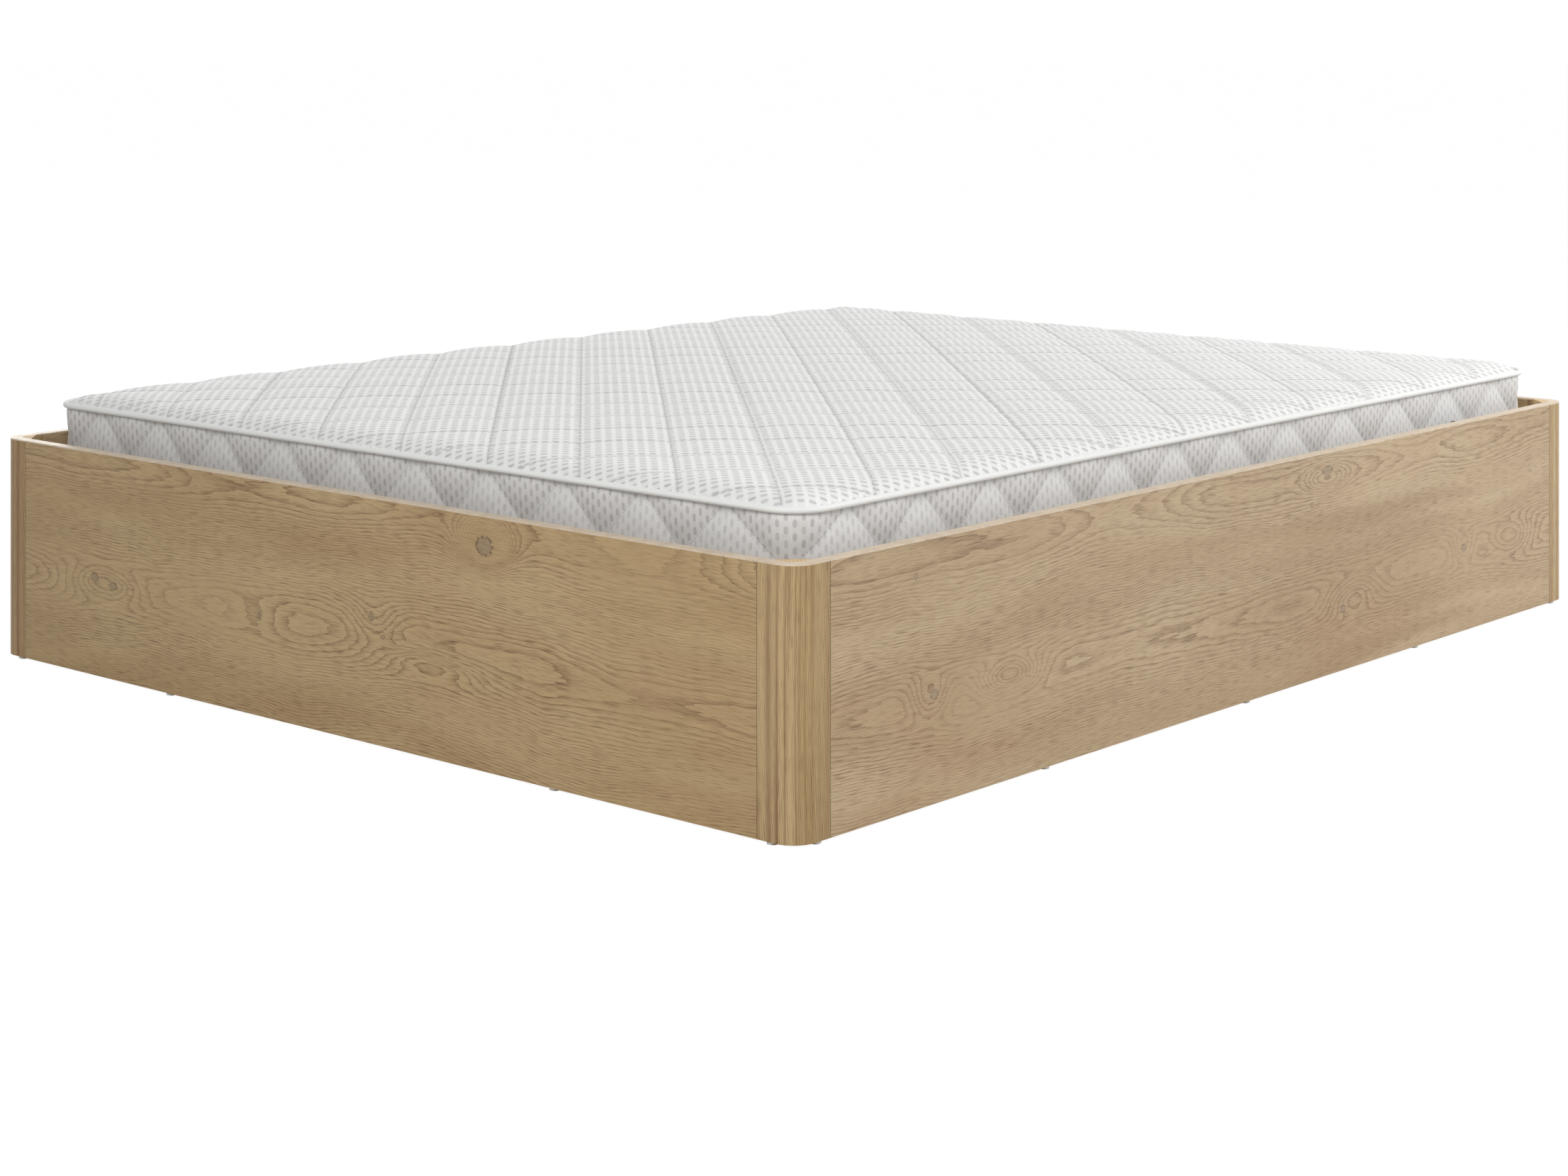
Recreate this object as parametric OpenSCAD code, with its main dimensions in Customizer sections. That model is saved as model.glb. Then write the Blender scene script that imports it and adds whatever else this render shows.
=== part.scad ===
// Storage bed: an oak laminate box on the floor, with a mattress on a slatted steel frame that lifts
// at the foot. X is across the bed, the head is at +Y, and the floor is Z = 0.

/* [Mattress] */
// Width of the mattress, across the bed
mattress_width = 1600; // [1200:10:1800]
// Length of the mattress, head to foot
mattress_length = 1980; // [1880:10:2100]
// Height of the mattress border, from the underside to the middle of the top piping
border_height = 177; // [150:1:190]
// Depth of the mattress underside below the rim of the box
mattress_sink = 125; // [110:1:130]
// Radius of the mattress corners in plan
mattress_corner = 60; // [40:1:90]
// Rise of the mattress top from the piping to the first row of quilting
shoulder_rise = 6; // [3:1:12]
// Further rise of the mattress top in the middle
crown_rise = 12; // [4:1:25]
// Height of the quilted pads above the seams round them
pad_rise = 9; // [4:1:14]
// Distance between quilting seams, along the edge of the mattress
quilt_pitch = 188; // [170:1:260]
// Distance of the outer row of quilting from the mattress edge
quilt_margin = 46; // [30:1:60]
// Diameter of the piping round the mattress
piping_diameter = 8; // [5:0.5:10]

/* [Box] */
// Gap between the mattress and each side panel
side_gap = 27; // [27:0.5:45]
// Gap between the mattress and the foot panel
foot_gap = 39; // [25:1:60]
// Gap between the mattress and the head panel
head_gap = 15; // [14:0.5:30]
// Height of the rim above the floor
rim_height = 350; // [345:5:420]
// Thickness of the board that the panels and posts are made of
board = 18; // [16:1:22]
// Width of a corner post on each face
post_leg = 65; // [58:1:90]
// Outer radius of a corner post
post_radius = 35; // [26:1:45]
// Leg of the triangular block in each corner
block_leg = 36; // [32:1:45]
// Open joint between a post and a panel
seam = 0.4; // [0.2:0.1:1]
// Thickness of the edging along the rim
edging = 2; // [1:0.5:3]
// Height of the glides under the box
glide_height = 4; // [3:1:8]
// Radius of a glide
glide_radius = 7; // [5:0.5:8]

/* [Storage floor] */
// Side of the square batten along the foot of each panel
cleat = 18; // [15:1:22]
// Thickness of the floor boards
floor_thickness = 8; // [5:1:12]
// Width of the joist under each joint between floor boards
joist_width = 60; // [40:1:90]
// Gap round each floor board
floor_play = 1; // [0.5:0.5:3]

/* [Slatted frame] */
// Distance of the steel frame inside the mattress edge
frame_inset = 10; // [5:1:20]
// Width of the frame tube
rail_width = 25; // [20:1:30]
// Height of the frame tube
rail_height = 30; // [25:1:36]
// Wall of the frame tube
rail_wall = 2; // [1.5:0.5:3]
// Number of slats in each row
slat_count = 14; // [10:1:16]
// Width of a slat
slat_width = 68; // [50:1:80]
// Thickness of a slat
slat_thickness = 8; // [6:1:10]
// Rise of a slat from its ends to its middle
slat_bow = 4; // [3:0.5:5]
// Wall of a slat holder
holder_wall = 1.6; // [1.2:0.1:2]
// Length of slat that a holder grips
holder_grip = 45; // [30:1:60]
// Play of a slat in its holder
holder_play = 1.2; // [1:0.1:1.6]
// Diameter of the rod of a mattress stop
stop_rod = 7; // [6:0.5:8]
// Width of a mattress stop
stop_width = 160; // [100:5:190]
// Height of a mattress stop above the frame
stop_height = 85; // [60:1:95]
// Width of the webbing of the pull strap
strap_width = 40; // [25:1:50]
// Thickness of the webbing of the pull strap
strap_thickness = 2.5; // [2:0.5:3.5]

/* [Lift] */
// Angle that the frame opens
lift_angle = 35; // [25:1:36]
// Depth of the hinge below the rim
hinge_drop = 20; // [16:1:30]
// Distance of the hinge from the head end of the mattress
hinge_setback = 300; // [280:5:305]
// Radius of the hinge pin
pin_radius = 5; // [4:0.5:6]
// Radial play of the hinge pin and of the strut studs
bore_play = 0.05; // [0.03:0.01:0.08]
// Thickness of the steel plates of the lift
plate = 3; // [2:0.5:3]
// Distance of the lift arm outside the mattress
arm_gap = 2; // [1.5:0.5:2.5]
// Distance of both studs of a gas strut from the hinge
strut_reach = 320; // [310:5:330]
// Depth of the lower strut stud below the rim
strut_foot_depth = 290; // [275:1:294]
// Radius of the strut studs
stud_radius = 4; // [3:0.5:5]
// Outer radius of the strut tube
tube_radius = 9; // [7:0.5:9]
// Wall of the strut tube
tube_wall = 1.5; // [1:0.25:2]
// Radius of the strut rod
rod_radius = 4; // [3:0.5:5]
// Length of the strut tube
tube_length = 385; // [360:5:390]
// Radius of the screws that hold the plates
screw_radius = 2.4; // [2:0.1:3]

/* [Hidden] */
$fn = 48;

OAK = [0.70, 0.60, 0.46];
OAK_EDGE = [0.84, 0.76, 0.66];
SLAT_WOOD = [0.86, 0.74, 0.56];
BOARD_WHITE = [0.88, 0.88, 0.86];
STEEL_GREY = [0.30, 0.31, 0.33];
BRIGHT = [0.75, 0.76, 0.78];
BLACK = [0.08, 0.08, 0.09];
NYLON = [0.88, 0.88, 0.87];
TICKING = [0.93, 0.93, 0.93];

// Margin by which a cut runs past the face it opens
past = 1;
// Gap that keeps two pieces that only lie beside each other from touching
clear = 0.3;

// Inside of the box, and the box itself: Y runs from the foot panel to the head panel
inner_width = mattress_width + 2 * side_gap;
inner_length = mattress_length + foot_gap + head_gap;
box_width = inner_width + 2 * board;
box_length = inner_length + 2 * board;
panel_bottom = glide_height;
panel_top = rim_height - edging;
panel_height = panel_top - panel_bottom;

// Ends of the mattress, and the levels under it
mattress_foot = -inner_length / 2 + foot_gap;
mattress_head = inner_length / 2 - head_gap;
mattress_bottom = rim_height - mattress_sink;
piping_radius = piping_diameter / 2;
top_piping_z = mattress_bottom + border_height;
bottom_piping_z = mattress_bottom + piping_radius + clear;
slat_end_bottom = mattress_bottom - slat_bow - slat_thickness;
rail_top = slat_end_bottom - holder_wall;
rail_bottom = rail_top - rail_height;

// Storage floor: four boards, one node each
floor_boards = 4;
cleat_top = panel_bottom + cleat;
floor_top = cleat_top + floor_thickness;
floor_pitch = inner_length / floor_boards;

// Outline of the steel frame
frame_half = mattress_width / 2 - frame_inset;
frame_foot = mattress_foot + frame_inset;
frame_head = mattress_head - frame_inset;
frame_length = frame_head - frame_foot;
mattress_middle = (mattress_foot + mattress_head) / 2;

// Lift geometry on the right side. Both studs lie strut_reach from the hinge, so the strut turns by half
// the angle of the lift
hinge_y = mattress_head - hinge_setback;
hinge_z = rim_height - hinge_drop;
strut_foot_z = rim_height - strut_foot_depth;
frame_stud_z = rail_bottom + rail_height / 2;
foot_angle = asin((hinge_z - strut_foot_z) / strut_reach);
stud_angle = asin((hinge_z - frame_stud_z) / strut_reach);
strut_foot_y = hinge_y + strut_reach * cos(foot_angle);
strut_stud_y = hinge_y - strut_reach * cos(stud_angle);
closed_angle = 180 - foot_angle - stud_angle;
closed_length = 2 * strut_reach * sin(closed_angle / 2);
open_length = 2 * strut_reach * sin((closed_angle + lift_angle) / 2);
strut_tilt = atan2(frame_stud_z - strut_foot_z, strut_stud_y - strut_foot_y);

// Layers of the lift across the side gap, from the mattress out to the panel
arm_inside = mattress_width / 2 + arm_gap;
arm_outside = arm_inside + plate;
panel_face = inner_width / 2;
plate_face = panel_face - plate;
strut_x = (arm_outside + plate_face) / 2;
eye_width = 12;
eye_radius = 9;
eye_neck = 28;
neck_radius = 5.5;
tube_floor = 2;
eye_inside = strut_x - eye_width / 2;
stud_head = 1.2;
stud_head_radius = 1.5 * stud_radius;
pin_head = 1.2;
pin_head_radius = pin_radius + 4;
boss_radius = pin_radius + 6;

// Rod of the strut: it reaches its piston with the strut open
piston_length = 10;
piston_radius = tube_radius - tube_wall - clear;
cap_length = 12;
tube_start = eye_neck;
tube_end = tube_start + tube_length;
rod_neck = 14;
rod_length = open_length - rod_neck - (tube_end - cap_length - piston_length - 2 * clear);

// Plates screwed to the box
hinge_plate_size = [120, 84];
plate_margin = 2;
hinge_plate_top = hinge_z + boss_radius + plate_margin;
plate_corner = 8;
bracket_plate_size = [64, 50];
rest_width = 50;
rest_drop = 40;
buffer_height = 4;
buffer_radius = 9;
rest_top = rail_bottom - buffer_height;
rest_screw_z = rest_top - plate - rest_drop / 2;
screw_length = 14;
screw_head = 2.2;
screw_head_radius = 4.4;
screw_edge = 10;
rest_reach = panel_face - frame_half + rail_width;
rest_foot_reach = frame_foot + inner_length / 2 + rail_width;
rest_side_y = [-inner_length / 3, 0];
rest_foot_x = [-mattress_width / 4, mattress_width / 4];

// Screw holes in a side panel, as [y, z], worked out from the plates
hinge_screws = [for (u = [-1, 1], v = [0, 1])
    [hinge_y + u * (hinge_plate_size[0] / 2 - screw_edge),
     v == 0 ? hinge_plate_top - hinge_plate_size[1] + screw_edge : hinge_plate_top - screw_edge]];
bracket_screws = [for (u = [-1, 1]) [strut_foot_y + u * (bracket_plate_size[0] / 2 - screw_edge),
    strut_foot_z - bracket_plate_size[1] / 2 + screw_edge]];
rest_screws = [for (y = rest_side_y, u = [-1, 1]) [y + u * rest_width / 4, rest_screw_z]];
side_screws = concat(hinge_screws, bracket_screws, rest_screws);

// Cam fittings at the seams between posts and panels
cam_heights = [panel_bottom + 0.25 * panel_height, panel_bottom + 0.75 * panel_height];
cam_distance = 34;
cam_radius = 7.5;
cam_depth = 12.5;
cam_play = 0.1;
bolt_radius = 3;
bolt_in_post = 12;
bolt_depth = board / 2;

// Screws through the corner blocks, along the diagonal
block_screw_heights = [for (i = [1:3]) floor_top + i * (rim_height - floor_top) / 4];
block_screw_length = 30;
block_screw_radius = 2;

// Corner of the box as seen from outside it, with its own axes pointing inwards
module at_corner(side, end) {
    translate([side * box_width / 2, end * box_length / 2, 0])
        mirror([side > 0 ? 1 : 0, 0, 0])
            mirror([0, end > 0 ? 1 : 0, 0])
                children();
}

// Mirrors a piece that is drawn on the right, +X, to the left
module on_side(side) {
    mirror([side < 0 ? 1 : 0, 0, 0]) children();
}

// Square from [from, from] to [to, to] whose first corner is rounded with radius r about [centre, centre]
module rounded_corner(from, to, r, centre, h) {
    intersection() {
        translate([centre, centre, 0]) cylinder(r = r, h = h, $fn = 96);
        translate([from, from, 0]) cube([centre - from, centre - from, h]);
    }
    translate([centre, from, 0]) cube([to - centre, to - from, h]);
    translate([from, centre, 0]) cube([centre - from, to - centre, h]);
}

// L-shaped post section with its rounded outer corner
module post_section(h) {
    difference() {
        rounded_corner(0, post_leg, post_radius, post_radius, h);
        translate([0, 0, -past])
            rounded_corner(board, post_leg + past, post_radius - board, post_radius, h + 2 * past);
    }
}

// Axis of a block screw: starts at the block's slanted face and points at the corner
module block_screw_axis(z) {
    translate([board + block_leg / 2, board + block_leg / 2, z])
        rotate([0, 0, 225]) rotate([0, 90, 0]) children();
}

module corner_post(side, end) {
    color(OAK) at_corner(side, end) difference() {
        translate([0, 0, panel_bottom]) post_section(panel_height);
        for (z = cam_heights) {
            translate([post_leg + past, bolt_depth, z]) rotate([0, -90, 0])
                cylinder(r = bolt_radius + cam_play, h = bolt_in_post + past + clear);
            translate([bolt_depth, post_leg + past, z]) rotate([90, 0, 0])
                cylinder(r = bolt_radius + cam_play, h = bolt_in_post + past + clear);
        }
        for (z = block_screw_heights)
            block_screw_axis(z) cylinder(r = block_screw_radius + cam_play, h = block_screw_length + clear);
    }
}

module corner_block(side, end) {
    at_corner(side, end) difference() {
        translate([board, board, floor_top]) intersection() {
            rounded_corner(0, block_leg, post_radius - board, post_radius - board, rim_height - floor_top);
            linear_extrude(rim_height - floor_top) polygon([[0, 0], [block_leg, 0], [0, block_leg]]);
        }
        for (z = block_screw_heights)
            block_screw_axis(z) translate([0, 0, -past])
                cylinder(r = block_screw_radius + cam_play, h = block_screw_length + past);
    }
}

module corner_blocks() {
    color(OAK_EDGE) for (side = [-1, 1], end = [-1, 1]) corner_block(side, end);
}

module block_screws() {
    color(BRIGHT) for (side = [-1, 1], end = [-1, 1], z = block_screw_heights) at_corner(side, end)
        block_screw_axis(z) {
            cylinder(r = block_screw_radius, h = block_screw_length);
            translate([0, 0, -screw_head]) cylinder(r = screw_head_radius, h = screw_head);
        }
}

// Cam fittings of one end of a panel that runs along X from x = 0; its inner face is at y = board
module cam_cuts() {
    for (z = cam_heights) {
        translate([cam_distance, board - cam_depth, z]) rotate([-90, 0, 0])
            cylinder(r = cam_radius, h = cam_depth + past);
        translate([-past, board - bolt_depth, z]) rotate([0, 90, 0])
            cylinder(r = bolt_radius + cam_play, h = cam_distance + past);
    }
}

module end_panel() {
    length = box_width - 2 * (post_leg + seam);
    difference() {
        translate([-length / 2, 0, panel_bottom]) cube([length, board, panel_height]);
        for (side = [0, 1]) mirror([side, 0, 0]) translate([-length / 2, 0, 0]) cam_cuts();
    }
}

module foot_panel() {
    color(OAK) difference() {
        translate([0, -box_length / 2, 0]) end_panel();
        for (x = rest_foot_x, u = [-1, 1])
            translate([x + u * rest_width / 4, past - inner_length / 2, rest_screw_z]) rotate([90, 0, 0])
                cylinder(r = screw_radius + cam_play, h = screw_length - plate + past);
    }
}

module head_panel() {
    color(OAK) translate([0, box_length / 2, 0]) mirror([0, 1, 0]) end_panel();
}

module side_panel(side) {
    length = box_length - 2 * (post_leg + seam);
    color(OAK) on_side(side) difference() {
        translate([panel_face, -length / 2, panel_bottom]) cube([board, length, panel_height]);
        for (end = [0, 1]) mirror([0, end, 0])
            translate([box_width / 2, -length / 2, 0]) rotate([0, 0, 90]) cam_cuts();
        for (p = side_screws) translate([panel_face - past, p[0], p[1]]) rotate([0, 90, 0])
            cylinder(r = screw_radius + cam_play, h = screw_length - plate + past);
    }
}

// Places its child at each end of each seam; the child runs along X from the post's end face, at y = 0
module at_seams() {
    for (side = [-1, 1], end = [-1, 1]) at_corner(side, end) {
        translate([post_leg, 0, 0]) children();
        mirror([1, -1, 0]) translate([post_leg, 0, 0]) children();
    }
}

module cam_locks() {
    color(BRIGHT) at_seams() for (z = cam_heights)
        translate([seam + cam_distance, board - cam_depth + cam_play, z]) rotate([-90, 0, 0])
            cylinder(r = cam_radius - cam_play, h = cam_depth - cam_play);
}

module cam_bolts() {
    color(BRIGHT) at_seams() for (z = cam_heights)
        translate([-bolt_in_post, bolt_depth, z]) rotate([0, 90, 0])
            cylinder(r = bolt_radius, h = bolt_in_post + seam + cam_distance - cam_radius);
}

module rim_edging() {
    color(OAK_EDGE) translate([0, 0, panel_top]) {
        for (side = [-1, 1], end = [-1, 1]) at_corner(side, end) post_section(edging);
        for (end = [-1, 1]) translate([0, end * (box_length - board) / 2, edging / 2])
            cube([box_width - 2 * (post_leg + seam), board, edging], center = true);
        for (side = [-1, 1]) translate([side * (box_width - board) / 2, 0, edging / 2])
            cube([board, box_length - 2 * (post_leg + seam), edging], center = true);
    }
}

module glides() {
    color(NYLON) {
        for (side = [-1, 1], end = [-1, 1]) at_corner(side, end) {
            translate([board / 2, post_leg - board, 0]) cylinder(r = glide_radius, h = glide_height);
            translate([post_leg - board, board / 2, 0]) cylinder(r = glide_radius, h = glide_height);
        }
        for (side = [-1, 1], y = [-floor_pitch, 0, floor_pitch])
            translate([side * (box_width - board) / 2, y, 0]) cylinder(r = glide_radius, h = glide_height);
        for (end = [-1, 1], x = [-inner_width / 4, inner_width / 4])
            translate([x, end * (box_length - board) / 2, 0]) cylinder(r = glide_radius, h = glide_height);
        for (x = [-inner_width / 4, 0, inner_width / 4], y = [-floor_pitch, 0, floor_pitch])
            translate([x, y, 0]) cylinder(r = glide_radius, h = glide_height);
    }
}

// Battens that carry the floor boards: long ones on the side panels, short ones and joists between them
module floor_cleats() {
    corner = post_radius - board;
    color(SLAT_WOOD) translate([0, 0, panel_bottom]) {
        for (side = [0, 1]) mirror([side, 0, 0])
            translate([panel_face - cleat, -inner_length / 2 + corner, 0])
                cube([cleat, inner_length - 2 * corner, cleat]);
        for (end = [0, 1]) mirror([0, end, 0])
            translate([-panel_face + cleat + clear, -inner_length / 2, 0])
                cube([inner_width - 2 * (cleat + clear), cleat, cleat]);
    }
}

module floor_joists() {
    length = inner_width - 2 * (cleat + clear);
    color(SLAT_WOOD) for (y = [-floor_pitch, 0, floor_pitch])
        translate([-length / 2, y - joist_width / 2, panel_bottom]) cube([length, joist_width, cleat]);
}

// One floor board; the end boards have their outer corners cut for the rounded posts
module floor_board(i) {
    size = [inner_width - floor_play, floor_pitch - floor_play, floor_thickness];
    y = -inner_length / 2 + (i - 1) * floor_pitch + floor_play / 2;
    corner = 2 * (post_radius - board) * sin(45) + past;
    color(BOARD_WHITE) difference() {
        translate([-size[0] / 2, y, cleat_top]) cube(size);
        for (side = [-1, 1], end = [-1, 1])
            translate([side * panel_face, end * inner_length / 2, cleat_top]) rotate([0, 0, 45])
                cube([corner, corner, 3 * floor_thickness], center = true);
    }
}

// Plate against a side panel with rounded corners, given its middle and size in Y and Z
module wall_plate(y, z, size, corner) {
    translate([plate_face, y, z]) rotate([90, 0, 90]) {
        for (u = [-1, 1], v = [-1, 1]) translate([u * (size[0] / 2 - corner), v * (size[1] / 2 - corner), 0])
            cylinder(r = corner, h = plate);
        translate([-size[0] / 2 + corner, -size[1] / 2, 0]) cube([size[0] - 2 * corner, size[1], plate]);
        translate([-size[0] / 2, -size[1] / 2 + corner, 0]) cube([size[0], size[1] - 2 * corner, plate]);
    }
}

module screw_cuts(points) {
    for (p = points) translate([plate_face - past, p[0], p[1]]) rotate([0, 90, 0])
        cylinder(r = screw_radius + cam_play, h = plate + 2 * past);
}

module hinge_plate(side) {
    color(STEEL_GREY) on_side(side) difference() {
        union() {
            wall_plate(hinge_y, hinge_plate_top - hinge_plate_size[1] / 2, hinge_plate_size, plate_corner);
            translate([arm_outside + clear, hinge_y, hinge_z]) rotate([0, 90, 0])
                cylinder(r = boss_radius, h = plate_face - arm_outside - clear);
        }
        translate([arm_outside, hinge_y, hinge_z]) rotate([0, 90, 0])
            cylinder(r = pin_radius, h = panel_face - arm_outside + past);
        screw_cuts(hinge_screws);
    }
}

module hinge_pins() {
    color(BRIGHT) for (side = [-1, 1]) on_side(side)
        translate([arm_inside, hinge_y, hinge_z]) rotate([0, 90, 0]) {
            translate([0, 0, -clear]) cylinder(r = pin_radius, h = panel_face - arm_inside + clear);
            translate([0, 0, -pin_head]) cylinder(r = pin_head_radius, h = pin_head - clear);
        }
}

// Stud that a strut eye turns on: it runs across the eye from x = start, and its head is on the far side.
// An inward stud points at the mattress.
module strut_stud(start, inward) {
    end = inward ? eye_inside - clear : eye_inside + eye_width + clear;
    head = inward ? end - stud_head : end;
    translate([min(start, end), 0, 0]) rotate([0, 90, 0]) cylinder(r = stud_radius, h = abs(end - start));
    translate([head, 0, 0]) rotate([0, 90, 0]) cylinder(r = stud_head_radius, h = stud_head);
}

module strut_bracket(side) {
    color(STEEL_GREY) on_side(side) {
        difference() {
            wall_plate(strut_foot_y, strut_foot_z, bracket_plate_size, plate_corner);
            screw_cuts(bracket_screws);
        }
        translate([0, strut_foot_y, strut_foot_z]) strut_stud(plate_face, true);
    }
}

// Angle bracket that carries a rest buffer: its upright leg starts at y = 0, and it reaches to y = reach
module rest_bracket(reach) {
    difference() {
        union() {
            translate([-rest_width / 2, 0, rest_top - plate]) cube([rest_width, reach, plate]);
            translate([-rest_width / 2, 0, rest_top - plate - rest_drop])
                cube([rest_width, plate, rest_drop]);
        }
        for (u = [-1, 1]) translate([u * rest_width / 4, -past, rest_screw_z]) rotate([-90, 0, 0])
            cylinder(r = screw_radius + cam_play, h = plate + 2 * past);
    }
}

// Places its child at each rest: the child's y = 0 is the panel's inner face, and +Y points into the box
module at_rests() {
    for (side = [-1, 1], y = rest_side_y)
        translate([side * panel_face, y, 0]) rotate([0, 0, side > 0 ? 90 : -90]) {
            $reach = rest_reach;
            children();
        }
    for (x = rest_foot_x) translate([x, -inner_length / 2, 0]) {
        $reach = rest_foot_reach;
        children();
    }
}

module rest_brackets() {
    color(STEEL_GREY) at_rests() rest_bracket($reach);
}

module rest_buffers() {
    color(BLACK) at_rests() translate([0, $reach - rail_width / 2, rest_top])
        cylinder(r = buffer_radius, h = buffer_height);
}

// Screw with its axis along +Z: the head is on the plate, the shank goes through it
module plate_screw() {
    cylinder(r = screw_radius, h = screw_length - clear);
    translate([0, 0, -screw_head]) cylinder(r = screw_head_radius, h = screw_head);
}

module plate_screws() {
    color(BRIGHT) {
        for (side = [-1, 1], p = side_screws) on_side(side)
            translate([plate_face, p[0], p[1]]) rotate([0, 90, 0]) plate_screw();
        for (x = rest_foot_x, u = [-1, 1])
            translate([x + u * rest_width / 4, -inner_length / 2 + plate, rest_screw_z])
                rotate([90, 0, 0]) plate_screw();
    }
}

// Rectangular steel tube along +Y from y = 0, its middle on x = 0 and its underside at the rail level
module rail_tube(length) {
    translate([-rail_width / 2, 0, rail_bottom]) difference() {
        cube([rail_width, length, rail_height]);
        translate([rail_wall, -past, rail_wall])
            cube([rail_width - 2 * rail_wall, length + 2 * past, rail_height - 2 * rail_wall]);
    }
}

module side_rail(side) {
    color(STEEL_GREY) translate([side * (frame_half - rail_width / 2), frame_foot, 0])
        rail_tube(frame_length);
}

// Tube across the frame, from x0 to x1, with its middle at y
module cross_tube(x0, x1, y) {
    translate([x1, y, 0]) rotate([0, 0, 90]) rail_tube(x1 - x0);
}

cross_half = frame_half - rail_width;
plug_depth = 15;
plug_play = 0.1;

module head_rail() {
    color(STEEL_GREY) cross_tube(-cross_half, cross_half, frame_head - rail_width / 2);
}

module foot_rail() {
    color(STEEL_GREY) cross_tube(-cross_half, cross_half, frame_foot + rail_width / 2);
}

module centre_rail() {
    color(STEEL_GREY) translate([0, frame_foot + rail_width, 0]) rail_tube(frame_length - 2 * rail_width);
}

module cross_rails() {
    color(STEEL_GREY) for (side = [-1, 1]) on_side(side) cross_tube(rail_width / 2, cross_half, hinge_y);
}

module rail_plugs() {
    width = rail_width - 2 * rail_wall - 2 * plug_play;
    height = rail_height - 2 * rail_wall - 2 * plug_play;
    color(BLACK) for (side = [-1, 1], end = [-1, 1])
        translate([side * (frame_half - rail_width / 2),
                   mattress_middle + end * (frame_length - plug_depth) / 2, rail_bottom + rail_height / 2])
            cube([width, plug_depth, height], center = true);
}

// Sizes of the pieces welded to the side rails for the lift, and how far they stay inside the rail's height
arm_bar = 110;
arm_ear_radius = boss_radius + 4;
stud_block = 30;
weld_inset = 3;
weld_bottom = rail_bottom + weld_inset;
weld_height = rail_height - 2 * weld_inset;

// Steel arm from the frame up to the hinge: a plate beside the mattress on a bar welded to the side rail
module lift_arm(side) {
    color(STEEL_GREY) on_side(side) difference() {
        union() {
            translate([frame_half, hinge_y - arm_bar / 2, weld_bottom])
                cube([arm_inside - frame_half, arm_bar, weld_height]);
            translate([arm_inside, hinge_y, 0]) rotate([90, 0, 90]) linear_extrude(plate)
                polygon([[-arm_bar / 2, weld_bottom], [arm_bar / 2, weld_bottom],
                         [arm_bar / 2, weld_bottom + weld_height], [arm_ear_radius, hinge_z],
                         [-arm_ear_radius, hinge_z], [-arm_bar / 2, weld_bottom + weld_height]]);
            translate([arm_inside, hinge_y, hinge_z]) rotate([0, 90, 0])
                cylinder(r = arm_ear_radius, h = plate);
        }
        translate([arm_inside - past, hinge_y, hinge_z]) rotate([0, 90, 0])
            cylinder(r = pin_radius + bore_play, h = plate + 2 * past);
    }
}

module strut_stud_piece(side) {
    block_end = eye_inside - clear;
    color(BRIGHT) on_side(side) translate([0, strut_stud_y, frame_stud_z]) {
        translate([frame_half, -stud_block / 2, -weld_height / 2])
            cube([block_end - frame_half, stud_block, weld_height]);
        strut_stud(block_end, false);
    }
}

// Middles of the slats, head to foot
slat_margin = slat_width / 2 + holder_wall + holder_play;
slat_pitch = (frame_length - 2 * slat_margin) / (slat_count - 1);
slat_ys = [for (i = [0:slat_count - 1]) frame_foot + slat_margin + i * slat_pitch];
centre_web = 4;
slat_inner_x = centre_web / 2 + holder_play;
slat_outer_x = frame_half - holder_wall - holder_play;
pocket_height = slat_thickness + holder_play;
holder_height = pocket_height + 2 * holder_wall;

// Holder of one slat end at y = 0, its closed wall at x = 0 and its mouth towards +X
module slat_holder(wall) {
    holder_width = slat_width + 2 * (holder_wall + holder_play / 2);
    difference() {
        translate([0, -holder_width / 2, rail_top]) cube([holder_grip, holder_width, holder_height]);
        translate([wall, -(slat_width + holder_play) / 2, slat_end_bottom])
            cube([holder_grip, slat_width + holder_play, pocket_height]);
    }
}

module slat_holders(side) {
    color(BLACK) for (y = slat_ys) translate([side * frame_half, y, 0]) mirror([side > 0 ? 1 : 0, 0, 0])
        slat_holder(holder_wall);
}

module slat_holders_centre() {
    color(BLACK) for (y = slat_ys) translate([0, y, 0]) {
        slat_holder(centre_web / 2);
        mirror([1, 0, 0]) slat_holder(centre_web / 2);
    }
}

// Sprung slats: the top line is a parabola that rises by the bow in the middle
module slats(side) {
    steps = 12;
    length = slat_outer_x - slat_inner_x;
    top = [for (i = [0:steps]) let(t = i / steps)
        [slat_inner_x + t * length, mattress_bottom - slat_bow * pow(2 * t - 1, 2)]];
    bottom = [for (i = [steps:-1:0]) top[i] - [0, slat_thickness]];
    color(SLAT_WOOD) on_side(side) for (y = slat_ys)
        translate([0, y + slat_width / 2, 0]) rotate([90, 0, 0]) linear_extrude(slat_width)
            polygon(concat(top, bottom));
}

// Hoops of steel rod that keep the mattress from sliding towards the head when the foot is up
module mattress_stops() {
    r = stop_rod / 2;
    y = mattress_head + clear + r;
    foot = rail_top - 2 * r;
    top = rail_top + stop_height - r;
    color(STEEL_GREY) for (x = [-mattress_width / 4, mattress_width / 4]) translate([x, y, 0]) {
        translate([-stop_width / 2 + r, 0, top]) rotate([0, 90, 0]) cylinder(r = r, h = stop_width - 2 * r);
        for (u = [-1, 1]) translate([u * (stop_width / 2 - r), 0, 0]) {
            translate([0, 0, foot]) cylinder(r = r, h = top - foot);
            translate([0, 0, foot]) rotate([90, 0, 0]) cylinder(r = r, h = y - frame_head);
            for (z = [foot, top]) translate([0, 0, z]) sphere(r = r);
        }
    }
}

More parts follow.
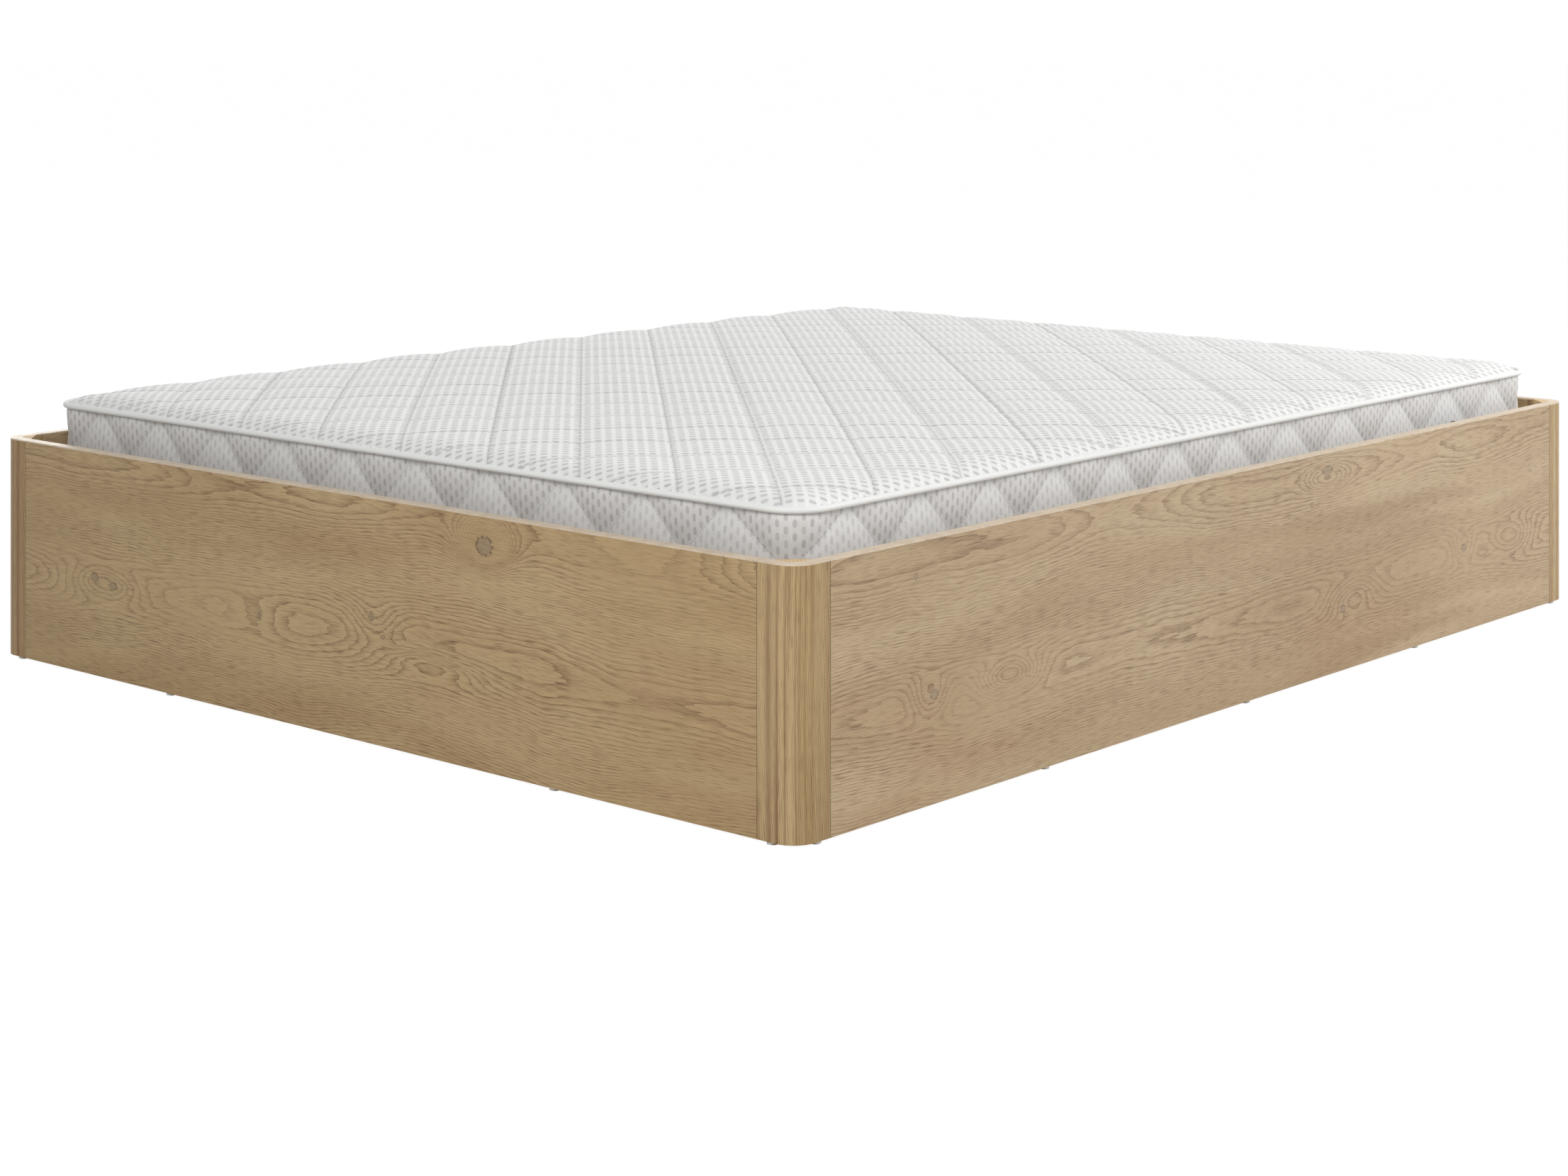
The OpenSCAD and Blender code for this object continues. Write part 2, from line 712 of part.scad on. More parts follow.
// Folded webbing loop to lift by: it is fixed to the foot rail, comes out under the mattress edge and
// stands up in the gap at the foot
module pull_strap() {
    layers = 2 * strap_thickness;
    bend_top = mattress_bottom - clear;
    front = mattress_foot - clear - layers;
    strap_top = mattress_bottom + mattress_sink / 2;
    color(BLACK) translate([-strap_width / 2, 0, 0]) {
        translate([0, frame_foot - layers, rail_bottom]) cube([strap_width, layers, bend_top - rail_bottom]);
        translate([0, front, bend_top - layers]) cube([strap_width, frame_foot - front, layers]);
        translate([0, front, bend_top - layers])
            cube([strap_width, layers, strap_top - bend_top + layers / 2]);
        translate([0, front + layers / 2, strap_top - layers / 2]) rotate([0, 90, 0])
            cylinder(r = layers / 2, h = strap_width);
    }
}

// Mattress: a quilted top of pads between seams at 45 degrees, on a border drawn in at its two piped seams
mattress_half = [mattress_width / 2, mattress_length / 2];
seam_inset = piping_diameter + 0.5;
bulge_inset = 1;
grid_half = [mattress_half[0] - quilt_margin, mattress_half[1] - quilt_margin];
grid_count = [for (k = [0, 1]) 2 * round(2 * grid_half[k] / quilt_pitch)];
grid_step = [for (k = [0, 1]) 2 * grid_half[k] / grid_count[k]];
triangle_fill = 0.7;
corner_angles = [0, 45, 90];

function grid_xy(i, j) = [i * grid_step[0] - grid_half[0], j * grid_step[1] - grid_half[1]];
function grid_index(i, j) = i * (grid_count[1] + 1) + j;
// The crown falls to nothing at the edges with the fourth power of the distance from the middle
function fall(t) = 1 - pow(t, 4);
function crown(p) = shoulder_rise
    + crown_rise * fall(p[0] / mattress_half[0]) * fall(p[1] / mattress_half[1]);
function top_point(p, fill) = [p[0], p[1], border_height + crown(p) + fill * pad_rise];

// A cell of the quilting grid has two seam corners on one diagonal and two pad corners on the other
function is_seam(i, j) = (i + j) % 2 == 0;
function cell_halves(i, j) = is_seam(i, j)
    ? [[[i, j], [i + 1, j], [i + 1, j + 1]], [[i, j], [i + 1, j + 1], [i, j + 1]]]
    : [[[i, j], [i + 1, j], [i, j + 1]], [[i + 1, j], [i + 1, j + 1], [i, j + 1]]];

// Ring of points round the mattress at a level, counter-clockwise from above: three points a corner and
// one for each grid line
function ring_corner(q, inset, z) = let(r = mattress_corner - inset) [for (a = corner_angles)
    let(t = 90 * q + a) [(q == 0 || q == 3 ? 1 : -1) * (mattress_half[0] - mattress_corner) + r * cos(t),
    (q < 2 ? 1 : -1) * (mattress_half[1] - mattress_corner) + r * sin(t), z]];
function ring_side(q, inset, z) =
    q == 0 ? [for (i = [grid_count[0] - 1:-1:1]) [grid_xy(i, 0)[0], mattress_half[1] - inset, z]] :
    q == 1 ? [for (j = [grid_count[1] - 1:-1:1]) [inset - mattress_half[0], grid_xy(0, j)[1], z]] :
    q == 2 ? [for (i = [1:grid_count[0] - 1]) [grid_xy(i, 0)[0], inset - mattress_half[1], z]] :
             [for (j = [1:grid_count[1] - 1]) [mattress_half[0] - inset, grid_xy(0, j)[1], z]];
function ring(inset, z) = [for (q = [0:3]) each concat(ring_corner(q, inset, z), ring_side(q, inset, z))];

// Grid point that each ring point is joined to, in the same order
function ring_grid(q) = let(n = grid_count) concat(
    [for (a = corner_angles) grid_index(q == 0 || q == 3 ? n[0] : 0, q < 2 ? n[1] : 0)],
    q == 0 ? [for (i = [n[0] - 1:-1:1]) grid_index(i, n[1])] :
    q == 1 ? [for (j = [n[1] - 1:-1:1]) grid_index(0, j)] :
    q == 2 ? [for (i = [1:n[0] - 1]) grid_index(i, 0)] :
             [for (j = [1:n[1] - 1]) grid_index(n[0], j)]);

module mattress() {
    n = grid_count;
    halves = [for (i = [0:n[0] - 1], j = [0:n[1] - 1]) each cell_halves(i, j)];
    grid_points = [for (i = [0:n[0]], j = [0:n[1]]) top_point(grid_xy(i, j), is_seam(i, j) ? 0 : 1)];
    pad_points = [for (h = halves) let(p = (grid_xy(h[0][0], h[0][1]) + grid_xy(h[1][0], h[1][1])
        + grid_xy(h[2][0], h[2][1])) / 3) top_point(p, triangle_fill)];
    rings = [ring(seam_inset, border_height), ring(bulge_inset, border_height / 2), ring(seam_inset, 0)];
    round_count = len(rings[0]);
    pads = len(grid_points);
    first = pads + len(pad_points);
    inner = [for (q = [0:3]) each ring_grid(q)];
    top_faces = [for (k = [0:len(halves) - 1], e = [0:2]) let(a = halves[k][e], b = halves[k][(e + 1) % 3])
        [pads + k, grid_index(b[0], b[1]), grid_index(a[0], a[1])]];
    edge_faces = [for (k = [0:round_count - 1]) let(l = (k + 1) % round_count)
        each (inner[k] == inner[l]
            ? [[first + k, inner[k], first + l]]
            : [[first + k, inner[k], inner[l]], [first + k, inner[l], first + l]])];
    border_faces = [for (m = [0, 1], k = [0:round_count - 1])
        let(l = (k + 1) % round_count, u = first + m * round_count, d = u + round_count)
        each [[u + k, u + l, d + l], [u + k, d + l, d + k]]];
    last = first + 2 * round_count;
    underside = last + round_count;
    bottom_faces = [for (k = [0:round_count - 1]) [underside, last + k, last + (k + 1) % round_count]];
    color(TICKING) translate([0, mattress_middle, mattress_bottom]) polyhedron(
        points = concat(grid_points, pad_points, rings[0], rings[1], rings[2], [[0, 0, 0]]),
        faces = concat(top_faces, edge_faces, border_faces, bottom_faces), convexity = 6);
}

// Piping cord round the mattress: straight runs and quarter rings at the corners
module piping(z) {
    bend = mattress_corner - piping_radius;
    run = mattress_half - [mattress_corner, mattress_corner];
    color(TICKING) translate([0, mattress_middle, z]) {
        for (side = [-1, 1]) {
            translate([side * (mattress_half[0] - piping_radius), -run[1], 0]) rotate([-90, 0, 0])
                cylinder(r = piping_radius, h = 2 * run[1], $fn = 24);
            translate([-run[0], side * (mattress_half[1] - piping_radius), 0]) rotate([0, 90, 0])
                cylinder(r = piping_radius, h = 2 * run[0], $fn = 24);
        }
        for (sx = [0, 1], sy = [0, 1]) mirror([sx, 0, 0]) mirror([0, sy, 0]) translate([run[0], run[1], 0])
            rotate_extrude(angle = 90, $fn = 48) translate([bend, 0]) circle(r = piping_radius, $fn = 24);
    }
}

// Strut pieces are drawn along +Y from the lower stud and turned up to the closed position
module along_strut(side) {
    on_side(side) translate([strut_x, strut_foot_y, strut_foot_z]) rotate([strut_tilt, 0, 0]) children();
}

// Eye with its neck: the eye turns on a stud at y = 0 and the neck reaches y = length
module eye_piece(length) {
    difference() {
        union() {
            translate([-eye_width / 2, 0, 0]) rotate([0, 90, 0]) cylinder(r = eye_radius, h = eye_width);
            rotate([-90, 0, 0]) cylinder(r = neck_radius, h = length);
        }
        translate([-eye_width / 2 - past, 0, 0]) rotate([0, 90, 0])
            cylinder(r = stud_radius + bore_play, h = eye_width + 2 * past);
    }
}

module strut_foot(side) {
    color(BLACK) along_strut(side) eye_piece(tube_start);
}

module strut_tube(side) {
    color(BLACK) along_strut(side) rotate([-90, 0, 0]) difference() {
        translate([0, 0, tube_start]) cylinder(r = tube_radius, h = tube_length);
        translate([0, 0, tube_start + tube_floor]) cylinder(r = tube_radius - tube_wall, h = tube_length);
    }
}

module strut_cap(side) {
    color(BRIGHT) along_strut(side) rotate([-90, 0, 0]) difference() {
        translate([0, 0, tube_end - cap_length]) cylinder(r = tube_radius - tube_wall, h = cap_length);
        translate([0, 0, tube_end - cap_length - past])
            cylinder(r = rod_radius + bore_play, h = cap_length + 2 * past);
    }
}

module strut_rod(side) {
    color(BRIGHT) along_strut(side) rotate([-90, 0, 0])
        translate([0, 0, closed_length - rod_neck - rod_length]) {
            cylinder(r = rod_radius, h = rod_length);
            cylinder(r = piston_radius, h = piston_length);
        }
}

module strut_eye(side) {
    color(BLACK) along_strut(side) translate([0, closed_length, 0]) mirror([0, 1, 0]) eye_piece(rod_neck);
}

foot_panel();
head_panel();
side_panel(-1);  // side_panel_left
side_panel(1);  // side_panel_right
corner_post(-1, -1);  // corner_post_foot_left
corner_post(1, -1);  // corner_post_foot_right
corner_post(-1, 1);  // corner_post_head_left
corner_post(1, 1);  // corner_post_head_right
corner_blocks();
rim_edging();
cam_locks();
cam_bolts();
block_screws();
glides();
floor_cleats();
floor_joists();
floor_board(1);  // floor_board_1
floor_board(2);  // floor_board_2
floor_board(3);  // floor_board_3
floor_board(4);  // floor_board_4
hinge_plate(-1);  // hinge_plate_left
hinge_plate(1);  // hinge_plate_right
hinge_pins();
strut_bracket(-1);  // strut_bracket_left
strut_bracket(1);  // strut_bracket_right
rest_brackets();
rest_buffers();
plate_screws();
side_rail(-1);  // side_rail_left
side_rail(1);  // side_rail_right
head_rail();
foot_rail();
centre_rail();
cross_rails();
rail_plugs();
lift_arm(-1);  // lift_arm_left
lift_arm(1);  // lift_arm_right
strut_stud_piece(-1);  // strut_stud_left
strut_stud_piece(1);  // strut_stud_right
slat_holders(-1);  // slat_holders_left
slat_holders_centre();
slat_holders(1);  // slat_holders_right
slats(-1);  // slats_left
slats(1);  // slats_right
mattress_stops();
pull_strap();
mattress();
piping(top_piping_z);  // top_piping
piping(bottom_piping_z);  // bottom_piping
strut_foot(-1);  // strut_foot_left
strut_foot(1);  // strut_foot_right
strut_tube(-1);  // strut_tube_left
strut_tube(1);  // strut_tube_right
strut_cap(-1);  // strut_cap_left
strut_cap(1);  // strut_cap_right
strut_rod(-1);  // strut_rod_left
strut_rod(1);  // strut_rod_right
strut_eye(-1);  // strut_eye_left
strut_eye(1);  // strut_eye_right
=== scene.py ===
"""Storage bed: a quilted mattress on a lifting frame, low in a box of oak laminate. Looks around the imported
model, in metres."""
from math import pi, radians

import bpy
import numpy as np
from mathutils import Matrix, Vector


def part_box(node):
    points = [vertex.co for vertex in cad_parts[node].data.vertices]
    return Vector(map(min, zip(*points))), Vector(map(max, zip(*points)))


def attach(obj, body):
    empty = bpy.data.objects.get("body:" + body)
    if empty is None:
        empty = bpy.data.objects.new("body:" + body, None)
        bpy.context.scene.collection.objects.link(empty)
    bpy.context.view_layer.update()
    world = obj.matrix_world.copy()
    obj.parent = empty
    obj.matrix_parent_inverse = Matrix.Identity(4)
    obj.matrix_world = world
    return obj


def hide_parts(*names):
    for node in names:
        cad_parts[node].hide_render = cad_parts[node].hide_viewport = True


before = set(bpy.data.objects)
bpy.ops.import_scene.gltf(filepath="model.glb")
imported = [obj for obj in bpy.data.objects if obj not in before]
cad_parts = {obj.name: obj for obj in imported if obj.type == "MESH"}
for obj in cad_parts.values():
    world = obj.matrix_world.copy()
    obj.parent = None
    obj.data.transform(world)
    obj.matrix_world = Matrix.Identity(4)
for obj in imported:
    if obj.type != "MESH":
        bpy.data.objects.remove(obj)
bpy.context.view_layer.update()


# Camera at the photograph's place: level, looking at the foot end and the right side from a little above
# the mattress, with the view shifted down as a camera with a rising front does it.
camera_data = bpy.data.cameras.new("camera")
camera_data.sensor_width = 36
camera_data.lens = 66.81
camera_data.shift_y = -0.3622
camera_data.clip_end = 200
camera = bpy.data.objects.new("camera", camera_data)
camera.location = (3.18, -3.73, 1.02)
camera.rotation_euler = (radians(90), 0, radians(41.15))
bpy.context.scene.collection.objects.link(camera)
bpy.context.scene.camera = camera
bpy.context.scene.view_settings.view_transform = "Standard"


# Panels of the box: 18 mm board with a faced oak laminate on both sides. The grain runs along each panel,
# with knots and pointed figures where the tree's rings were cut at a slant.
class Wire:
    """A socket that takes part in arithmetic: an operator adds a Math node and gives back its result."""

    def __init__(self, tree, socket=None):
        self.tree = tree
        self.socket = socket

    def node(self, kind, settings=None, sockets=None, out=0):
        """Adds a node of that kind, sets its settings and then its sockets, and gives back one output."""
        made = self.tree.nodes.new(kind)
        for name, value in (settings or {}).items():
            setattr(made, name, value)
        for name, value in (sockets or {}).items():
            if isinstance(value, Wire):
                self.tree.links.new(value.socket, made.inputs[name])
            else:
                made.inputs[name].default_value = value
        return Wire(self.tree, made.outputs[out] if len(made.outputs) else None)

    def math(self, operation, *values):
        return self.node("ShaderNodeMath", {"operation": operation}, dict(enumerate(values)))

    def __add__(self, other):
        return self.math("ADD", self, other)

    def __sub__(self, other):
        return self.math("SUBTRACT", self, other)

    def __rsub__(self, other):
        return self.math("SUBTRACT", other, self)

    def __mul__(self, other):
        return self.math("MULTIPLY", self, other)

    def __truediv__(self, other):
        return self.math("DIVIDE", self, other)

    def __rtruediv__(self, other):
        return self.math("DIVIDE", other, self)

    def __pow__(self, other):
        return self.math("POWER", self, other)

    def __neg__(self):
        return self.math("MULTIPLY", self, -1.0)

    def __abs__(self):
        return self.math("ABSOLUTE", self)

    __radd__ = __add__
    __rmul__ = __mul__


def shade(red, green, blue):
    """A colour as a screen shows it, 0 to 255, turned into the linear values that a shader takes."""
    part = np.array((red, green, blue)) / 255
    linear = np.where(part <= 0.04045, part / 12.92, ((part + 0.055) / 1.055) ** 2.4)
    return (*map(float, linear), 1.0)


def blank_tree(owner):
    """Empties the node tree of a material or a world, and gives back a wire that adds nodes to it."""
    owner.use_nodes = True
    owner.node_tree.nodes.clear()
    return Wire(owner.node_tree)


def finish(name, paint):
    """A material of one Principled shader: paint(w) gives the values and links of its sockets by name."""
    material = bpy.data.materials.new(name)
    w = blank_tree(material)
    shader = w.node("ShaderNodeBsdfPrincipled", sockets=paint(w))
    w.node("ShaderNodeOutputMaterial", sockets={"Surface": shader})
    return material


def place(w):
    """The three object coordinates, in metres."""
    point = w.node("ShaderNodeTexCoord", out="Object")
    return [w.node("ShaderNodeSeparateXYZ", sockets={"Vector": point}, out=k) for k in range(3)]


def noise(w, x, y, z, detail=2.0, rough=0.5):
    """Soft noise from 0 to 1 at the point (x, y, z), already scaled by the caller."""
    point = w.node("ShaderNodeCombineXYZ", sockets={0: x, 1: y, 2: z})
    return w.node("ShaderNodeTexNoise", {"noise_dimensions": "3D"},
                  {"Vector": point, "Scale": 1.0, "Detail": detail, "Roughness": rough})


def step(w, value, low, high):
    """0 below low and 1 above high, with a smooth rise between them; low may be the higher one."""
    return w.node("ShaderNodeMapRange", {"interpolation_type": "SMOOTHSTEP"},
                  {"Value": value, "From Min": low, "From Max": high})


def blend(w, share, first, second):
    """The colour that goes from first to second as share goes from 0 to 1. A Mix node takes its colours at
    sockets 6 and 7, and gives its colour at output 2."""
    return w.node("ShaderNodeMix", {"data_type": "RGBA"}, {0: share, 6: first, 7: second}, out=2)


def bump(w, height, distance, strength):
    """The normal of a surface with that height, from 0 to 1, over a depth in metres."""
    return w.node("ShaderNodeBump", sockets={"Height": height, "Distance": distance, "Strength": strength})


def bell(w, u, v, centre, width, height):
    """A smooth hump of 1 at centre that falls to nothing over width and height."""
    a = (u - centre[0]) / width
    b = (v - centre[1]) / height
    return w.math("EXPONENT", -(a * a + b * b))


warm_cast, pore_brown = shade(176, 138, 104), shade(104, 74, 40)
pale_fibre, knot_rim = shade(206, 184, 144), shade(82, 63, 44)


def knotted(w, u, v, spot, wobble, seed, colour, mid, heart_tone):
    """Adds a knot at spot (u, v, half length, half height): far is the distance from its middle in half
    sizes, with a wobble. Its heart has cracks, its rim at 1 is a bell curve broken up by noise, and the wood
    about it is darker."""
    spot_u, spot_v, length, height = spot
    across, along = (v - spot_v) / height, (u - spot_u) / length
    far = (across * across + along * along) ** 0.5 + wobble
    rim_line = w.math("EXPONENT", -(((far - 1.0) / 0.16) ** 2.0))
    broken = step(w, noise(w, u * 260.0, v * 260.0, seed + spot_u * 50, 1.0), 0.36, 0.58)
    heart = step(w, far, 1.05, 0.75)
    crack = step(w, noise(w, u * 90.0, v * 330.0, seed + 17.0, 2.0), 0.58, 0.66)
    colour = blend(w, step(w, far, 2.3, 0.9) * 0.28, colour, mid)
    colour = blend(w, heart * (0.55 + 0.45 * crack), colour, heart_tone)
    return blend(w, rim_line * broken * 0.8, colour, knot_rim)


def oak(w, u, v, seed, tones, spine, figures=(), knots=(), span=0.19, gap=0.0035, wave=0.050):
    """Oak: u runs along the grain and v across it, in metres. The year rings are the levels of a field, gap
    apart: minus the cosine of the distance from the figure's spine, so it is level there and steep half
    way to the next spine, tilted slowly along the grain so that the levels close in arches, and lifted by a
    hump at each figure (u, v, half length, half height, lift). Pores and fibres follow the wavy path. The
    numbers in a noise are its waves to the metre, along and across the grain."""
    pale, mid, dark, heart_tone = tones
    drift = noise(w, u * 1.3, v * 2.2, seed, 1.0) - 0.5
    ripple = noise(w, u * 8.0, v * 14.0, seed + 3.1, 2.0) - 0.5
    streak = noise(w, u * 14.0, v * 240.0, seed + 5.3, 1.0) - 0.5
    tilt = noise(w, u * 1.7, v * 2.6, seed + 8.2, 1.0) - 0.5
    path = v + drift * wave + ripple * (wave * 0.28)
    hill = w.math("COSINE", (path - spine) * (pi / span)) * (span / pi)
    field = tilt * 0.062 + streak * 0.0022 - hill
    for fu, fv, length, height, lift in figures:
        field = field + bell(w, u, path, (fu, fv), length, height) * lift

    ring = w.math("FRACT", field / gap + noise(w, u * 0.5, field * 22.0, seed + 7.7, 1.0) * 4.0)
    slope = 1 - ring
    edge = slope ** 5.0
    strength = step(w, noise(w, u * 2.6, field * 24.0, seed + 1.3, 3.0), 0.30, 0.64)
    fibre = noise(w, u * 30.0, path * 900.0, seed + 5.0, 2.0, 0.6)
    pore = step(w, noise(w, u * 33.0, path * 980.0, seed + 9.0, 1.0), 0.50, 0.64)
    tone = noise(w, u * 1.6, field * 14.0, seed + 11.0, 2.0)
    warm = noise(w, u * 3.1, v * 9.0, seed + 13.0, 2.0)

    late_wood = edge * (0.20 + 0.35 * strength) + slope * slope * (0.02 + 0.09 * strength)
    pore_share = pore * (0.36 + 0.42 * slope * slope) * (0.55 + 0.45 * strength)
    colour = blend(w, step(w, tone, 0.30, 0.70), pale, mid)
    colour = blend(w, step(w, warm, 0.35, 0.75) * 0.20, colour, warm_cast)
    colour = blend(w, late_wood, colour, dark)
    colour = blend(w, pore_share, colour, pore_brown)
    colour = blend(w, step(w, fibre, 0.40, 0.80) * 0.16, colour, dark)
    colour = blend(w, step(w, fibre, 0.42, 0.18) * 0.35, colour, pale_fibre)
    for spot in knots:
        colour = knotted(w, u, v, spot, ripple * 0.4 + streak * 0.3, seed, colour, mid, heart_tone)
    relief = 0.5 * fibre - 0.5 * pore - 0.35 * edge * strength
    return {"Base Color": colour, "Roughness": 0.34 + 0.10 * fibre + 0.06 * pore,
            "Normal": bump(w, relief, 0.0002, 0.35)}


def dress(material, *names):
    """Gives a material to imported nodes."""
    for name in names:
        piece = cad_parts[name]
        piece.data.materials.clear()
        piece.data.materials.append(material)


# The tones are pale and darker ground, late wood, and the heart of a knot. Knots and figures are placed by
# their distance from the panel's middle and their height.
foot_tones = shade(190, 165, 122), shade(174, 146, 103), shade(100, 68, 32), shade(134, 117, 94)
# The side panels' tones are a little greyer than the foot's at the same lightness: painted sheen, the pale
# reflection that the long sides catch when seen at a slant.
side_tones = shade(188, 166, 133), shade(172, 147, 112), shade(106, 75, 42), shade(140, 123, 102)

foot_knots = [(0.287, 0.309, 0.016, 0.013), (-0.595, 0.156, 0.008, 0.007), (-0.548, 0.148, 0.011, 0.006),
              (-0.193, 0.150, 0.005, 0.004), (0.055, 0.183, 0.005, 0.006), (0.080, 0.157, 0.005, 0.003)]
foot_figures = [(0.287, 0.309, 0.050, 0.034, 0.044), (-0.570, 0.150, 0.090, 0.026, 0.026),
                (-0.200, 0.150, 0.060, 0.030, 0.010), (0.060, 0.170, 0.050, 0.034, 0.016),
                (0.180, 0.125, 0.100, 0.018, 0.020), (0.560, 0.345, 0.200, 0.050, -0.030)]
side_knots = [(-0.762, 0.146, 0.007, 0.006), (0.270, 0.100, 0.008, 0.006), (0.661, 0.142, 0.008, 0.006),
              (0.223, 0.322, 0.014, 0.006), (-0.800, 0.304, 0.004, 0.004), (0.177, 0.273, 0.005, 0.004)]
side_figures = [(-0.770, 0.146, 0.040, 0.030, 0.020), (-0.598, 0.146, 0.066, 0.024, 0.034),
                (0.300, 0.115, 0.080, 0.030, 0.026), (0.223, 0.322, 0.060, 0.022, 0.020),
                (0.661, 0.142, 0.040, 0.028, 0.016), (0.832, 0.142, 0.080, 0.026, 0.024)]
head_knots, head_figures = [(-0.35, 0.24, 0.012, 0.009)], [(-0.35, 0.24, 0.08, 0.030, 0.030)]
left_knots, left_figures = [(0.42, 0.20, 0.012, 0.009)], [(0.42, 0.20, 0.09, 0.030, 0.030)]


def panel_paint(along, *look):
    """Oak whose grain runs along x, where along is 0, or y, where it is 1, with the height across it."""
    def paint(w):
        point = place(w)
        return oak(w, point[along], point[2], *look)
    return paint


for name, node, *look in (
        ("oak_foot", "foot_panel", 0, 2.0, foot_tones, 0.148, foot_figures, foot_knots),
        ("oak_head", "head_panel", 0, 31.0, foot_tones, 0.190, head_figures, head_knots),
        ("oak_right", "side_panel_right", 1, 14.0, side_tones, 0.135, side_figures, side_knots),
        ("oak_left", "side_panel_left", 1, 47.0, side_tones, 0.210, left_figures, left_knots)):
    dress(finish(name, panel_paint(*look)), node)


# Corner posts: the same laminate pressed round a bent board, with the grain standing upright. A thin dark
# line of painted shade on each side, where post and panel meet, parts them from the panels.
half_x, half_y = 0.845, 1.035
post_leg = 0.065
post_tones = shade(190, 166, 121), shade(168, 141, 94), shade(88, 54, 22), shade(130, 112, 90)
band_brown, joint_painted_shade = shade(118, 80, 42), shade(70, 62, 44)
post_streaks = ((-0.045, 0.0050, 0.80), (-0.031, 0.0024, 0.70), (-0.018, 0.0018, 0.60),
                (0.001, 0.0016, 0.70), (0.019, 0.0018, 0.60), (0.060, 0.0060, 0.55))


def post_paint(seed):
    """Upright oak on one post: across goes round the post from its middle, and each streak (middle, width,
    depth) is a brown bell curve there that comes and goes with the height."""
    def paint(w):
        x, y, z = place(w)
        across = abs(x) - abs(y) + (half_y - half_x)
        look = oak(w, z, across, seed, post_tones, 0.3, span=0.6, gap=0.0034, wave=0.024)
        wander = (noise(w, z * 3.0, across * 9.0, seed + 20.0, 1.0) - 0.5) * 0.012
        bands = step(w, noise(w, z * 1.1, (across + wander) * 70.0, seed + 21.0, 2.0), 0.46, 0.66) * 0.46
        for middle, width, depth in post_streaks:
            line = w.math("EXPONENT", -(((across + wander - middle) / width) ** 2.0))
            fade = 0.35 + 0.65 * noise(w, z * 7.0, middle * 90, seed + 22.0, 2.0)
            bands = bands + line * fade * depth
        # Painted shade: a thin dark line at each end of the post's legs, where post and panel meet.
        joint_shade = step(w, abs(across), post_leg - 0.0010, post_leg - 0.0002)
        tinted = blend(w, bands, look["Base Color"], band_brown)
        look["Base Color"] = blend(w, joint_shade * 0.7, tinted, joint_painted_shade)
        return look
    return paint


for name, seed in (("foot_left", 3.0), ("foot_right", 5.0), ("head_left", 7.0), ("head_right", 9.0)):
    dress(finish("oak_post_" + name, post_paint(seed)), "corner_post_" + name)


# Edge band on the rim: a thin pale strip, plain and satin, glued on the upper edges of panels and posts,
# where the board's core would show.
def edging_paint(w):
    x, y, z = place(w)
    streak = noise(w, x * 60, y * 60, z * 10, 3.0)
    colour = blend(w, step(w, streak, 0.3, 0.7), shade(212, 195, 172), shade(200, 182, 158))
    return {"Base Color": colour, "Roughness": 0.45 + 0.1 * streak,
            "Normal": bump(w, streak, 0.0002, 0.4)}


dress(finish("edge_band", edging_paint), "rim_edging")


# Bare softwood: the corner blocks, and the battens and joists that carry the storage floor, sawn and
# planed, screwed on from inside.
def softwood_paint(w):
    x, y, z = place(w)
    ring = w.math("FRACT", (x + y * 0.7 + noise(w, x * 3, y * 3, z * 1.5) * 0.05) / 0.006)
    fibre = noise(w, x * 400, y * 400, z * 12, 3.0)
    colour = blend(w, (1 - ring) ** 2.0 * 0.5, shade(216, 186, 142), shade(176, 136, 88))
    colour = blend(w, fibre * 0.25, colour, shade(150, 112, 70))
    return {"Base Color": colour, "Roughness": 0.62 + 0.1 * fibre, "Normal": bump(w, fibre, 0.0003, 0.5)}


dress(finish("softwood", softwood_paint), "corner_blocks", "floor_cleats", "floor_joists")


# Storage floor: four thin boards faced in white, a little mottled. They lie loose on the battens and the
# joists, side by side.
def speckle(w, scale, detail=2.0):
    """Soft noise from 0 to 1 that is alike in all directions, with scale waves to the metre."""
    point = w.node("ShaderNodeTexCoord", out="Object")
    return w.node("ShaderNodeTexNoise", {"noise_dimensions": "3D"},
                  {"Vector": point, "Scale": scale, "Detail": detail})


def white_board_paint(w):
    mottle = speckle(w, 30, 3.0)
    grain = speckle(w, 900)
    colour = blend(w, mottle * 0.5 + grain * 0.2, shade(226, 225, 220), shade(210, 208, 202))
    return {"Base Color": colour, "Roughness": 0.5 + 0.1 * grain, "Normal": bump(w, grain, 0.0001, 0.4)}


dress(finish("white_board", white_board_paint), *(f"floor_board_{k}" for k in range(1, 5)))


# Zinc plated steel: cam locks and bolts at the seams, screws, hinge pins and strut studs. The plating has
# a cloudy gloss.
def zinc_paint(w):
    cloud = speckle(w, 220, 3.0)
    colour = blend(w, cloud, shade(186, 190, 194), shade(204, 202, 192))
    return {"Base Color": colour, "Metallic": 1.0, "Roughness": 0.28 + 0.2 * cloud}


dress(finish("zinc", zinc_paint), "cam_locks", "cam_bolts", "block_screws", "plate_screws",
      "hinge_pins", "strut_stud_left", "strut_stud_right")


# Powder coated steel: the lifting frame of welded tube, its arms, and the plates and brackets that are
# screwed to the box. The coat has a fine peel.
def powder_paint(w):
    peel = speckle(w, 700)
    colour = blend(w, speckle(w, 6), shade(72, 74, 78), shade(84, 86, 89))
    return {"Base Color": colour, "Roughness": 0.48 + 0.12 * peel, "Normal": bump(w, peel, 0.0003, 0.6)}


dress(finish("powder_coat", powder_paint), "side_rail_left", "side_rail_right", "head_rail", "foot_rail",
      "centre_rail", "cross_rails", "lift_arm_left", "lift_arm_right", "mattress_stops",
      "hinge_plate_left", "hinge_plate_right", "strut_bracket_left", "strut_bracket_right",
      "rest_brackets")


